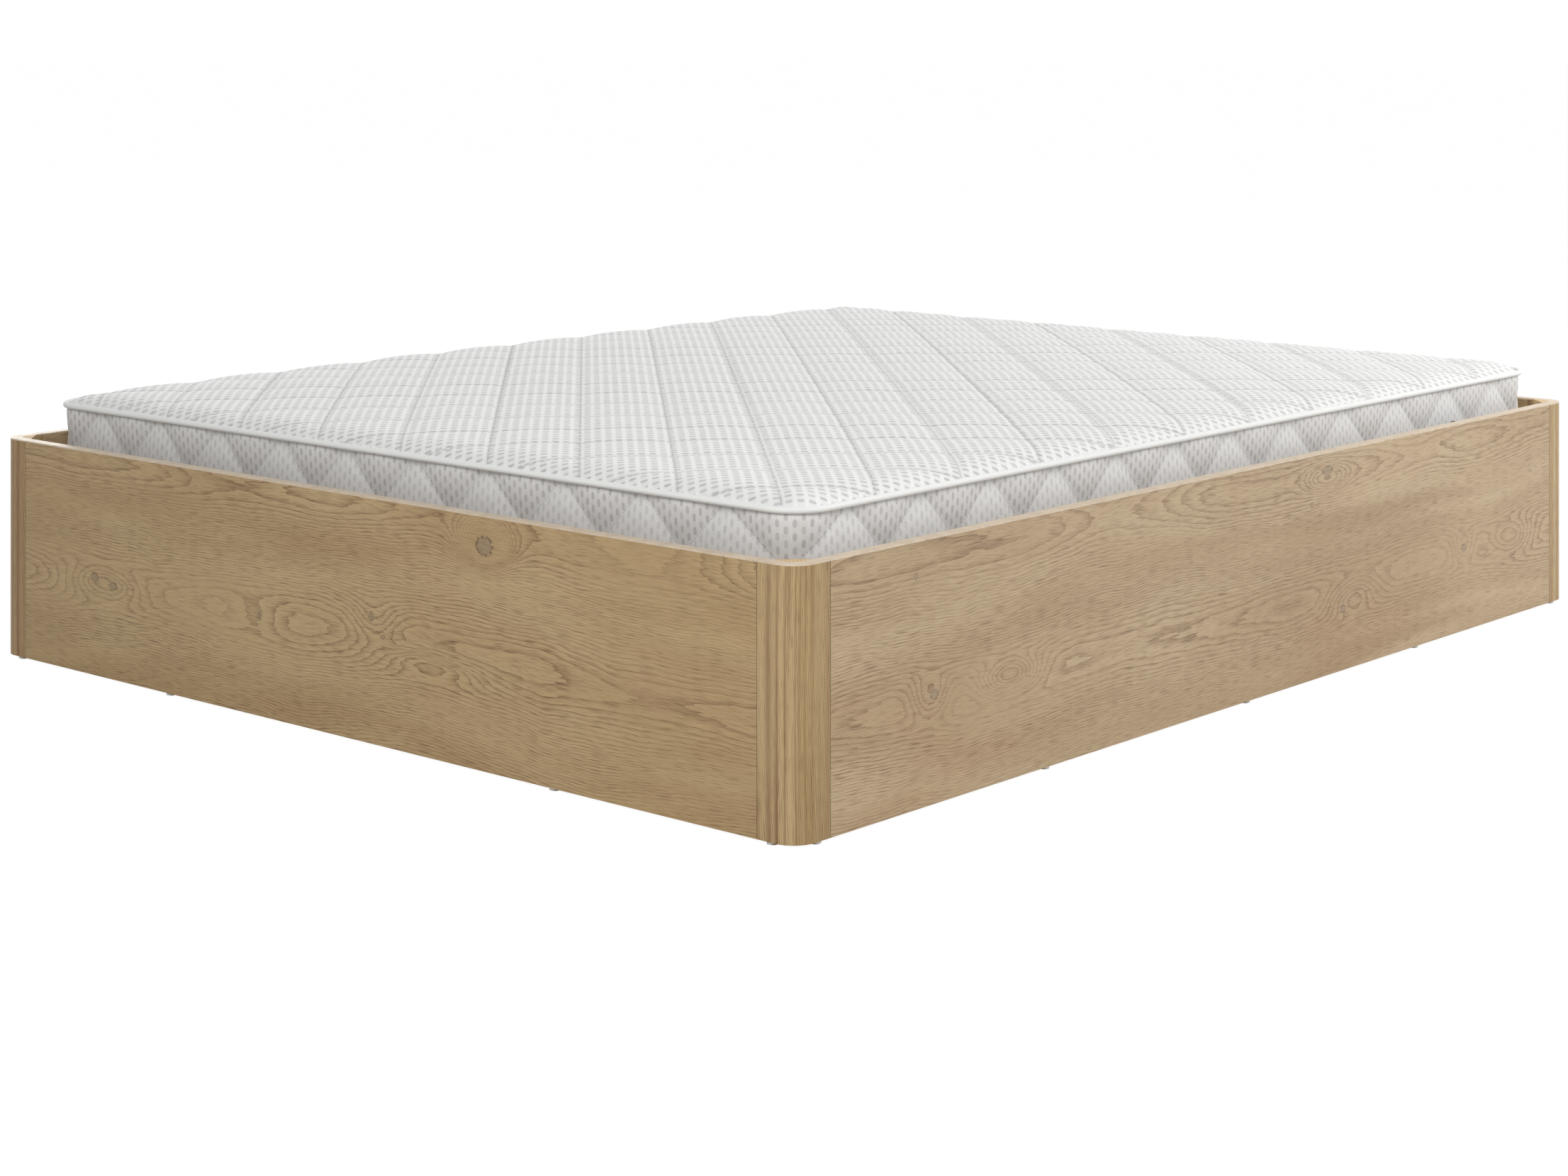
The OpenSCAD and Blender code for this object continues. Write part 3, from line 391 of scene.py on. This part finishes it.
# Black moulded plastic: plugs pushed into the tube ends, slat holders on the rails, and the eyes at both
# ends of each strut.
def plastic_paint(w):
    spark = speckle(w, 1400)
    colour = blend(w, spark, shade(34, 34, 36), shade(48, 48, 50))
    return {"Base Color": colour, "Roughness": 0.42 + 0.15 * spark, "Normal": bump(w, spark, 0.0002, 0.5)}


dress(finish("black_plastic", plastic_paint), "rail_plugs", "slat_holders_left",
      "slat_holders_centre", "slat_holders_right", "strut_foot_left", "strut_foot_right",
      "strut_eye_left", "strut_eye_right")


# Glides: small discs of white nylon, fixed under the panels and the joists, which keep the box off the
# floor.
def nylon_paint(w):
    cloud = speckle(w, 400)
    return {"Base Color": blend(w, cloud, shade(226, 226, 222), shade(214, 213, 208)),
            "Roughness": 0.45 + 0.15 * cloud, "Normal": bump(w, cloud, 0.0002, 0.4)}


dress(finish("nylon", nylon_paint), "glides")


# Buffers: black rubber, moulded, on the rest brackets of the box. The closed frame rests on them, so that
# steel doesn't knock on steel.
def rubber_paint(w):
    dust = speckle(w, 500, 3.0)
    colour = blend(w, dust, shade(26, 26, 26), shade(52, 51, 50))
    return {"Base Color": colour, "Roughness": 0.75 + 0.15 * dust, "Normal": bump(w, dust, 0.0003, 0.4)}


dress(finish("rubber", rubber_paint), "rest_buffers")


# Slats: two rows of beech laminate, pressed in a slight bend and lacquered. Each end sits in a plastic
# holder, at the side rail and at the centre rail.
def slat_paint(w):
    x, y, z = place(w)
    fibre = noise(w, x * 12, y * 260, z * 260, 3.0, 0.6)
    cloud = noise(w, x * 2, y * 15, z * 10, 2.0)
    fleck = step(w, noise(w, x * 140, y * 900, z * 900, 1.0), 0.62, 0.72)
    colour = blend(w, fibre * 0.6 + cloud * 0.3, shade(226, 196, 152), shade(190, 150, 104))
    colour = blend(w, fleck * 0.45, colour, shade(146, 104, 66))
    return {"Base Color": colour, "Roughness": 0.38 + 0.1 * fibre, "Coat Weight": 0.15,
            "Normal": bump(w, fibre - 0.5 * fleck, 0.0002, 0.4)}


dress(finish("slat_beech", slat_paint), "slats_left", "slats_right")


# Gas struts: a black enamelled tube that turns on its bracket, and a polished rod that slides out of it
# through a bright cap and turns on the frame.
def enamel_paint(w):
    ripple = speckle(w, 90)
    colour = blend(w, ripple, shade(20, 20, 22), shade(28, 28, 30))
    return {"Base Color": colour, "Roughness": 0.16 + 0.1 * ripple, "Coat Weight": 0.4}


def rod_paint(w):
    turn = speckle(w, 300)
    return {"Base Color": blend(w, turn, shade(205, 207, 210), shade(214, 215, 216)), "Metallic": 1.0,
            "Roughness": 0.08 + 0.08 * turn}


dress(finish("enamel", enamel_paint), "strut_tube_left", "strut_tube_right")
dress(finish("polished_rod", rod_paint), "strut_rod_left", "strut_rod_right", "strut_cap_left",
      "strut_cap_right")


# Pull strap: a folded loop of black webbing, sewn to the foot rail, that stands up in the gap between the
# mattress and the foot panel, where a hand finds it.
web, ply_offset = 0.0023, 0.0012
strap_half_width, edge_round = 0.0190, 0.0009
step_z, step_rise = 0.2120, 0.0120
bottom_clear, top_clear = 0.0004, 0.0006
rib_pitch, weft_pitch = 0.0024, 0.0021
strap_low, strap_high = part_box("pull_strap")


def webbing_paint(w):
    x, y, z = place(w)
    rib = w.math("SINE", (z + y) * (2 * pi / rib_pitch)) * w.math("SINE", x * (2 * pi / weft_pitch))
    selvedge = step(w, abs(x), 0.0165, 0.0175)
    colour = blend(w, 0.5 + 0.5 * rib, shade(30, 30, 32), shade(50, 50, 53))
    colour = blend(w, selvedge * 0.5, colour, shade(24, 24, 26))
    return {"Base Color": colour, "Roughness": 0.85, "Normal": bump(w, 0.5 + 0.5 * rib, 0.0006, 0.8)}


def beside(line):
    """The unit vectors across a line in y and z: its direction, turned by a right angle."""
    run = np.gradient(line, axis=0)
    return np.stack((-run[:, 1], run[:, 0]), -1) / np.linalg.norm(run, axis=1)[:, None]


def strap_path():
    """The loop's middle line in y and z: up the rail, forward over a rounded step, up to a half turn, and
    back down beside itself. The step is a smooth rise, 3s^2 - 2s^3 of its share s."""
    front, back = strap_low[1] + 2 * ply_offset, strap_high[1] - 2 * ply_offset
    height = np.linspace(strap_low[2] + bottom_clear, strap_high[2] - ply_offset - top_clear, 60)
    share = np.clip((height - step_z) / step_rise, 0, 1)
    line = np.stack((back + (front - back) * (3 * share ** 2 - 2 * share ** 3), height), -1)
    half_turn = np.linspace(0, pi, 9)[1:-1]
    fold = line[-1] + ply_offset * np.stack((np.cos(half_turn), np.sin(half_turn)), -1)
    aside = ply_offset * beside(line)
    return np.concatenate((line - aside, fold, (line + aside)[::-1]))


def numbered(points):
    """The numbers of a grid's points, row by row."""
    return np.arange(points.shape[0] * points.shape[1]).reshape(points.shape[:2])


def cells(grid):
    """The four corners of each cell of a grid, row by row, going down the rows first."""
    return np.stack((grid[:-1, :-1], grid[1:, :-1], grid[1:, 1:], grid[:-1, 1:]), 2)


def new_piece(name, points, faces, *materials):
    """A smooth mesh of these points and faces, on an object at the origin."""
    mesh = bpy.data.meshes.new(name)
    mesh.from_pydata(points, [], faces)
    mesh.polygons.foreach_set("use_smooth", np.ones(len(mesh.polygons), bool))
    for material in materials:
        mesh.materials.append(material)
    piece = bpy.data.objects.new(name, mesh)
    bpy.context.scene.collection.objects.link(piece)
    return piece


# The webbing's section is a flat bar with round edges, from the signed powers of a circle's cosine and
# sine. It is carried along the path, and both ends are closed.
turned_over = [0, 3, 2, 1]  # the order of a cell's corners that turns its face to the other side
line = strap_path()
turn = np.linspace(0, 2 * pi, 17)[:-1]
wide = np.sign(np.cos(turn)) * (strap_half_width + edge_round * np.abs(np.cos(turn)) ** 0.5)
thick = 0.5 * web * np.sign(np.sin(turn)) * np.abs(np.sin(turn)) ** 0.4
loop = np.empty((len(line), len(turn), 3))
loop[..., 0] = wide
loop[..., 1:] = line[:, None] + beside(line)[:, None] * thick[None, :, None]
index = numbered(loop)
faces = cells(np.pad(index, ((0, 0), (0, 1)), "wrap"))[..., turned_over].reshape(-1, 4)
ends = [index[0, ::-1].tolist(), index[-1].tolist()]
strap = new_piece("strap_loop", loop.reshape(-1, 3), [*faces.tolist(), *ends],
                  finish("webbing", webbing_paint))
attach(strap, "lift_frame")
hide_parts("pull_strap")


# Mattress: foam and springs in a white ticking, quilted in diamonds on top and in a zigzag round the
# border. The two are sewn together under the piping, and the foam pushes the pads out between seams.
middle_y = 0.012
half = np.array((0.800, 0.990))
corner = 0.060
seam_inset = 0.0085
seam_z, low_z = 0.402, 0.225
sole_z = low_z + 0.0008

# Seen from the mattress's middle, the seams of the top are where x + y + main_seam, or x - y + cross_seam,
# is a whole number of pitches.
quilt_pitch = 0.1808
main_seam, cross_seam = 0.036, 0.011
lip_rise, lip_reach = 0.0030, 0.008
shoulder_rise, shoulder_reach = 0.0080, 0.060
crown_rise = 0.008
pad_rise, pad_reach = 0.0085, 0.022


def rounded(a, b, half, radius):
    """A grid on a rectangle, with the squares at its corners turned into quarter discs: a point keeps its
    larger distance from the disc's middle, and its smaller one sets the angle."""
    inner = half - radius
    p = np.stack((a, b), -1)
    over = (np.abs(p) - inner) / radius
    big, small = over.max(-1), over.min(-1)
    angle = np.where(big > 0, small / np.maximum(big, 1e-9), 0) * pi / 4
    first, second = np.cos(angle) * big, np.sin(angle) * big
    wide = over[..., 0] >= over[..., 1]
    turned = np.stack((np.where(wide, first, second), np.where(wide, second, first)), -1)
    in_corner = (small > 0)[..., None]
    return np.where(in_corner, np.sign(p) * (inner + turned * radius), p)


def edge_distance(x, y, half, radius):
    """How far a point is inside a rectangle with rounded corners."""
    q = np.stack((np.abs(x), np.abs(y)), -1) - (half - radius)
    return radius - (np.hypot(*np.moveaxis(np.maximum(q, 0), -1, 0)) + np.minimum(q.max(-1), 0))


def seam_wave(s, pitch):
    """0 on a seam and 1 half way between two seams: the size of a sine."""
    return np.abs(np.sin(pi * s / pitch))


def top_height(x, y):
    """Height of the quilted top over the piping's seam: a rounded lip and shoulder, a slight crown, and pads
    between the seams. The seams from the head's left to the foot's right are deep and steep: a pad rises
    from them as the wave to the power 0.27. The ones that cross them only dent the pads, by 1 minus the wave
    to the power 0.3, and two slow sines make each pad a little different."""
    d = np.maximum(edge_distance(x, y, half - seam_inset, corner - seam_inset), 0)
    lip = lip_rise * (1 - np.exp(-d / lip_reach))
    shoulder = shoulder_rise * (1 - np.maximum(1 - d / shoulder_reach, 0) ** 2.2)
    crown = crown_rise * (1 - (x / half[0]) ** 4) * (1 - (y / half[1]) ** 4)
    channel = seam_wave(x + y + main_seam, quilt_pitch) ** 0.27
    dent = 1 - seam_wave(x - y + cross_seam, quilt_pitch) ** 0.3
    own = 0.92 + 0.08 * np.sin(9.1 * x + 4.3 * y) * np.sin(5.7 * x - 11.3 * y)
    pad = channel * (1 - 0.80 * dent) * own
    return lip + shoulder + np.maximum(crown, 0) + pad_rise * pad * (1 - np.exp(-d / pad_reach))


columns, rows = 248, 308
across = np.linspace(-1, 1, columns + 1) * (half[0] - seam_inset)
along = np.linspace(-1, 1, rows + 1) * (half[1] - seam_inset)
flat = rounded(*np.meshgrid(across, along), half - seam_inset, corner - seam_inset)
x, y = flat[..., 0], flat[..., 1]
top = np.dstack((x, y, seam_z + top_height(x, y)))
index = numbered(top)
top = top.reshape(-1, 3)
top_faces = cells(index)[..., turned_over].reshape(-1, 4)
rim = np.concatenate((index[0, :-1], index[:-1, -1], index[-1, :0:-1], index[:0:-1, 0]))

outline = top[rim, :2]
centre = np.clip(outline, -(half - corner), half - corner)
outward = (outline - centre) / np.linalg.norm(outline - centre, axis=1)[:, None]
side_length = np.linalg.norm(np.roll(outline, -1, 0) - outline, axis=1)
walked = np.concatenate(((0,), np.cumsum(side_length)))
around, whole = walked[:-1], walked[-1]
from_foot_middle = np.where(outline[:, 1] < 0, np.abs(outline[:, 0]), np.inf)
start = around[np.argmin(from_foot_middle)]

border_pitch = 0.150
foot_pitch = 0.1486
peak_places, peak_counts = (0.668, 0.865, 1.762, 2.603), (5, 6, 12, 17)
peaks_all_round = 47
puff, tuck = 0.0055, 0.0010


def zigzag(s):
    """How many pitches of the border's zigzag lie between its first peak right of the foot end's middle and
    the place s metres on: the strip is joined, and stretched a little, at the near corner. The count goes
    evenly between the peaks whose places are given."""
    first = peak_counts[0] - (peak_places[0] + start) / foot_pitch
    return np.interp(s, (-start, *peak_places, whole - start),
                     (first, *peak_counts, first + peaks_all_round))


def border_out(s, down):
    """How far the border stands out of its seams: a pad in each diamond of the zigzag, the product of two
    waves to the power 0.55. The pads are held back at both pipings, and the whole is drawn in a little
    between them."""
    height = seam_z - low_z
    free = np.minimum(1, 6 * np.sin(pi * np.clip(down / height, 0, 1)))
    turn = zigzag(s)
    pad = (seam_wave(turn - down / border_pitch, 1) * seam_wave(turn + down / border_pitch, 1)) ** 0.55
    return puff * pad * (0.25 + 0.75 * free) - tuck * free


levels = 30
down = np.linspace(0, 1, levels + 1) * (seam_z - low_z)
s_grid, d_grid = np.meshgrid(around - start, down[1:])
out = border_out(s_grid, d_grid)
border = np.empty((levels, len(rim), 3))
border[..., :2] = outline + out[..., None] * outward
border[..., 2] = seam_z - d_grid
shrink = np.array((0.985, 0.95, 0.85, 0.65, 0.4, 0.15))
underside = np.empty((len(shrink), len(rim), 3))
underside[..., :2] = outline * shrink[:, None, None]
underside[..., 2] = sole_z
skirt = np.concatenate((border, underside))
points = np.concatenate((top, skirt.reshape(-1, 3), [(0, 0, sole_z)]))
points[:, 1] += middle_y

wall = np.concatenate((rim[None], len(top) + numbered(skirt)))
wall_faces = cells(np.pad(wall, ((0, 0), (0, 1)), "wrap")).reshape(-1, 4)
last = wall[-1]
fan = np.stack((last, np.full_like(last, len(points) - 1), np.roll(last, -1)), -1)
mattress = new_piece("mattress_cover", points,
                     [*top_faces.tolist(), *wall_faces.tolist(), *fan.tolist()])
mesh = mattress.data

# The top's faces come first, with material 0, then the border's with 1 and the underside's with 2.
border_count = levels * len(rim)
kind = np.zeros(len(mesh.polygons), np.int32)
kind[len(top_faces):] = 1
kind[len(top_faces) + border_count:] = 2

# The ticking's own coordinates in metres: x and y on top and below, and on the border the way round and
# the height. The way round goes on counting where the ring closes. The second map has the zigzag's count
# in its place.
round_uv = np.stack((np.tile(walked, (levels + 1, 1)) - start,
                     np.tile((seam_z - down)[:, None], (1, len(rim) + 1))), -1)
turn_uv = np.stack((np.tile(zigzag(walked - start), (levels + 1, 1)), round_uv[..., 1]), -1)
top_uv = points[top_faces.reshape(-1), :2]
under_faces = np.concatenate((wall_faces[border_count:].reshape(-1), fan.reshape(-1)))
under_uv = points[under_faces, :2]
for name, border_uv in (("cloth", round_uv), ("zigzag", turn_uv)):
    uv = np.concatenate((top_uv, cells(border_uv).reshape(-1, 2), under_uv))
    mesh.uv_layers.new(name=name).data.foreach_set("uv", uv.astype(np.float32).ravel())


def cloth_place(w, name="cloth"):
    """The ticking's own two coordinates, in metres, or the zigzag's, in pitches and metres."""
    spot = w.node("ShaderNodeUVMap", {"uv_map": name})
    return [w.node("ShaderNodeSeparateXYZ", sockets={"Vector": spot}, out=k) for k in range(2)]


def dots(w, a, b, wide, tall, shear, size_a, size_b, haze):
    """Woven ovals in columns wide apart, tall apart in each, with each column moved on by shear of a
    period: up to 1 inside an oval, haze between the ovals of a column, and 0 between columns."""
    column = w.math("ROUND", a / wide)
    along = b / tall + column * shear
    row = w.math("ROUND", along)
    near_a = abs((a / wide - column) * (2 * wide / size_a))
    near_b = abs((along - row) * (2 * tall / size_b))
    cell = w.node("ShaderNodeCombineXYZ", sockets={0: column, 1: row, 2: 0.5})
    own = w.node("ShaderNodeTexWhiteNoise", {"noise_dimensions": "3D"}, {"Vector": cell})
    oval = step(w, near_a ** 2.6 + near_b ** 2.6, 1.25, 0.75) * (0.7 + 0.3 * own)
    return w.math("MAXIMUM", oval, step(w, near_a, 1.35, 0.6) * haze)


def off_seam(w, path, pitch):
    """How far a point is from the nearest seam. Seams are where path is a whole number of pitches."""
    return abs(path / pitch - w.math("ROUND", path / pitch)) * pitch


def stitches(w, path, run, pitch, stitch, wide):
    """A row of thread stitches on each seam, along run: 1 on the thread, and 0 from wide on."""
    beat = w.math("SINE", run * (2 * pi / stitch))
    return step(w, off_seam(w, path, pitch), wide, wide * 0.4) * step(w, beat, -0.5, 0.1)


# The tone after the white is painted shade for the ground.
ticking_white, ticking_painted_shade = shade(236, 236, 235), shade(196, 190, 187)
knit_grey, spot_grey, thread_grey = shade(205, 205, 203), shade(150, 149, 148), shade(178, 178, 178)


def ticking(w, a, b, spot, thread, painted_shade):
    """White knitted ticking with grey ovals and thread, whose mark on the cross seams is widened into painted
    shade of the crease; the last argument is painted shade, which warms and darkens the ground a little.
    """
    knit = noise(w, a * 900, b * 500, 0.0, 2.0)
    colour = blend(w, painted_shade, ticking_white, ticking_painted_shade)
    colour = blend(w, spot * 0.8, colour, spot_grey)
    colour = blend(w, knit * 0.18, colour, knit_grey)
    colour = blend(w, thread * 0.75, colour, thread_grey)
    return {"Base Color": colour, "Roughness": 0.85, "Sheen Weight": 0.12,
            "Normal": bump(w, knit * 0.3 - spot * 0.5 - thread, 0.0006, 0.5)}


def ticking_top_paint(w):
    """Ovals in columns at 45 degrees, stitches on both rows of seams, painted shade in a dark line along the
    grooves of the deep ones, and in the folds of the others a soft painted shade that sways and comes in
    patches."""
    a, b = cloth_place(w)
    down_path, cross_path = a + b + (main_seam - middle_y), a - b + (cross_seam + middle_y)
    spot = dots(w, (a + b) * 0.5 ** 0.5, (a - b) * 0.5 ** 0.5, wide=0.0150, tall=0.0155, shear=0.0,
                size_a=0.0096, size_b=0.0066, haze=0.17)
    down_row = stitches(w, down_path, a - b, quilt_pitch, stitch=0.010, wide=0.0022)
    # The cross seams' stitch band is drawn wide: thread, and painted shade of the narrow crease beside it.
    cross_row = stitches(w, cross_path, a + b, quilt_pitch, stitch=0.014, wide=0.0050)
    # Painted shade: a soft band along the folds of the cross seams, swaying and in patches, and a dark line
    # in the grooves of the deep seams.
    sway = noise(w, (a + b) * 14, (a - b) * 5, 7.0, 2.0) * 0.016 - 0.008
    patch = noise(w, (a + b) * 9, (a - b) * 9, 11.0, 2.0)
    fold = step(w, off_seam(w, cross_path + sway, quilt_pitch), 0.018, 0.0)
    painted_groove_shade = step(w, off_seam(w, down_path, quilt_pitch), 0.010, 0.0)
    return ticking(w, a, b, spot * 0.82, w.math("MAXIMUM", down_row, cross_row),
                   fold * fold * patch * 0.65 + painted_groove_shade * painted_groove_shade * 0.40)


def ticking_border_paint(w):
    """Upright ovals, stitches on the seams that lean either way, painted shade on all of the border, and
    every second triangle painted lighter, with fainter ovals, as if lit from above: there the number of
    seams passed that lean one way is one more than of those that lean the other way."""
    a, b = cloth_place(w)
    turn, level = cloth_place(w, "zigzag")
    spot = dots(w, a, b, wide=0.0108, tall=0.0175, shear=0.5, size_a=0.0054, size_b=0.0104, haze=0.10)
    fall = (seam_z - level) / border_pitch
    more = w.math("FLOOR", turn + fall) - w.math("FLOOR", turn - fall)
    # Painted light: the mask of the triangles that are painted lighter and have fainter ovals.
    painted_light = w.math("MAXIMUM", more * (2 - more), 0.0)
    rib = noise(w, a * 420, b * 45, 3.0, 2.0)
    seams = [stitches(w, (turn + lean * fall) * border_pitch, a - lean * (seam_z - b), border_pitch,
                      stitch=0.008, wide=0.0021) for lean in (-1, 1)]
    # The ground gets painted shade all over the border, less in the lighter triangles; the knit's ribs ride
    # on it.
    return ticking(w, a, b, spot * (0.70 - 0.26 * painted_light), w.math("MAXIMUM", *seams) * 0.55,
                   0.42 - 0.14 * painted_light + (rib - 0.5) * 0.6)


def underside_paint(w):
    a, b = cloth_place(w)
    knit = noise(w, a * 600, b * 600, 0.0, 2.0)
    return {"Base Color": blend(w, knit, shade(214, 214, 212), shade(196, 196, 194)), "Roughness": 0.9,
            "Normal": bump(w, knit, 0.0005, 0.5)}


for name, paint in (("ticking_top", ticking_top_paint), ("ticking_border", ticking_border_paint),
                    ("ticking_under", underside_paint)):
    mesh.materials.append(finish(name, paint))
mesh.polygons.foreach_set("material_index", kind)
mesh.update()
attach(mattress, "lift_frame")
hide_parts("mattress")


# Piping: a cord in a strip of white ticking, sewn in where the top and the underside meet the border. It
# runs round the whole mattress, above and below.
def piping_paint(w):
    weave = speckle(w, 1200)
    return {"Base Color": blend(w, weave, shade(238, 238, 236), shade(222, 222, 219)), "Roughness": 0.8,
            "Sheen Weight": 0.15, "Normal": bump(w, weave, 0.0003, 0.5)}


piping_material = finish("piping", piping_paint)
piping_radius, piping_inset = 0.0047, 0.004
lower_seam_z = 0.2293


def piping_tube(name, level, node):
    """A round tube along the mattress's outline: each point of a ring is the outline moved in by the inset,
    plus the radius times the cosine outward and the sine upward."""
    turn = np.linspace(0, 2 * pi, 13)[:-1]
    base = centre + outward * (corner - piping_inset)
    ring = np.empty((len(base), len(turn), 3))
    ring[..., :2] = base[:, None] + outward[:, None] * (piping_radius * np.cos(turn))[None, :, None]
    ring[..., 2] = level + piping_radius * np.sin(turn)
    ring[..., 1] += middle_y
    faces = cells(np.pad(numbered(ring), (0, 1), "wrap")).reshape(-1, 4)
    piece = new_piece(name, ring.reshape(-1, 3), faces.tolist(), piping_material)
    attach(piece, "lift_frame")
    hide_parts(node)


piping_tube("piping_upper", seam_z, "top_piping")
piping_tube("piping_lower", lower_seam_z, "bottom_piping")


# Studio: a pale floor and a white room that show white to the camera, and four soft lamps. The two
# strongest stand on the right, behind the bed and before it. The others fill the back and the left.
floor_reach = 60
floor_grey, floor_white, floor_white_share = 0.85, 1.085, 0.88
room_light = 0.40

corners = [(-floor_reach, -floor_reach, 0), (floor_reach, -floor_reach, 0),
           (floor_reach, floor_reach, 0), (-floor_reach, floor_reach, 0)]
floor_material = bpy.data.materials.new("studio_floor")
w = blank_tree(floor_material)
matt = w.node("ShaderNodeBsdfDiffuse", sockets={"Color": (floor_grey, floor_grey, floor_grey, 1)})
glow = w.node("ShaderNodeEmission", sockets={"Color": (1, 1, 1, 1), "Strength": floor_white})
seen = w.node("ShaderNodeLightPath", out="Is Camera Ray")
w.node("ShaderNodeOutputMaterial", sockets={
    "Surface": w.node("ShaderNodeMixShader", sockets={0: seen * floor_white_share, 1: matt, 2: glow})})
floor = new_piece("studio_floor", corners, [(0, 1, 2, 3)], floor_material)

world = bpy.data.worlds.new("studio")
bpy.context.scene.world = world
w = blank_tree(world)
camera_ray, glossy_ray, transmission_ray = [
    w.node("ShaderNodeLightPath", out=name)
    for name in ("Is Camera Ray", "Is Glossy Ray", "Is Transmission Ray")]
seen = w.math("MINIMUM", camera_ray + glossy_ray + transmission_ray, 1.0)
room = w.node("ShaderNodeBackground", sockets={
    "Color": (1, 1, 1, 1), "Strength": room_light + (1 - room_light) * seen})
w.node("ShaderNodeOutputWorld", sockets={"Surface": room})

lamp_aim = Vector((0, 0, 0.3))
for name, spot, power, size in (("key_light", (3.0, 3.0, 2.2), 90, 2.0),
                                ("fill_light", (2.4, -3.4, 2.8), 90, 1.8),
                                ("back_light", (0.6, 3.2, 2.4), 30, 2.0),
                                ("left_light", (-3.4, 0.4, 1.2), 40, 2.0)):
    lamp = bpy.data.lights.new(name, "AREA")
    lamp.energy = power
    lamp.size = size
    light = bpy.data.objects.new(name, lamp)
    light.location = spot
    light.visible_camera = False
    light.rotation_euler = (lamp_aim - Vector(spot)).to_track_quat("-Z", "Y").to_euler()
    bpy.context.scene.collection.objects.link(light)
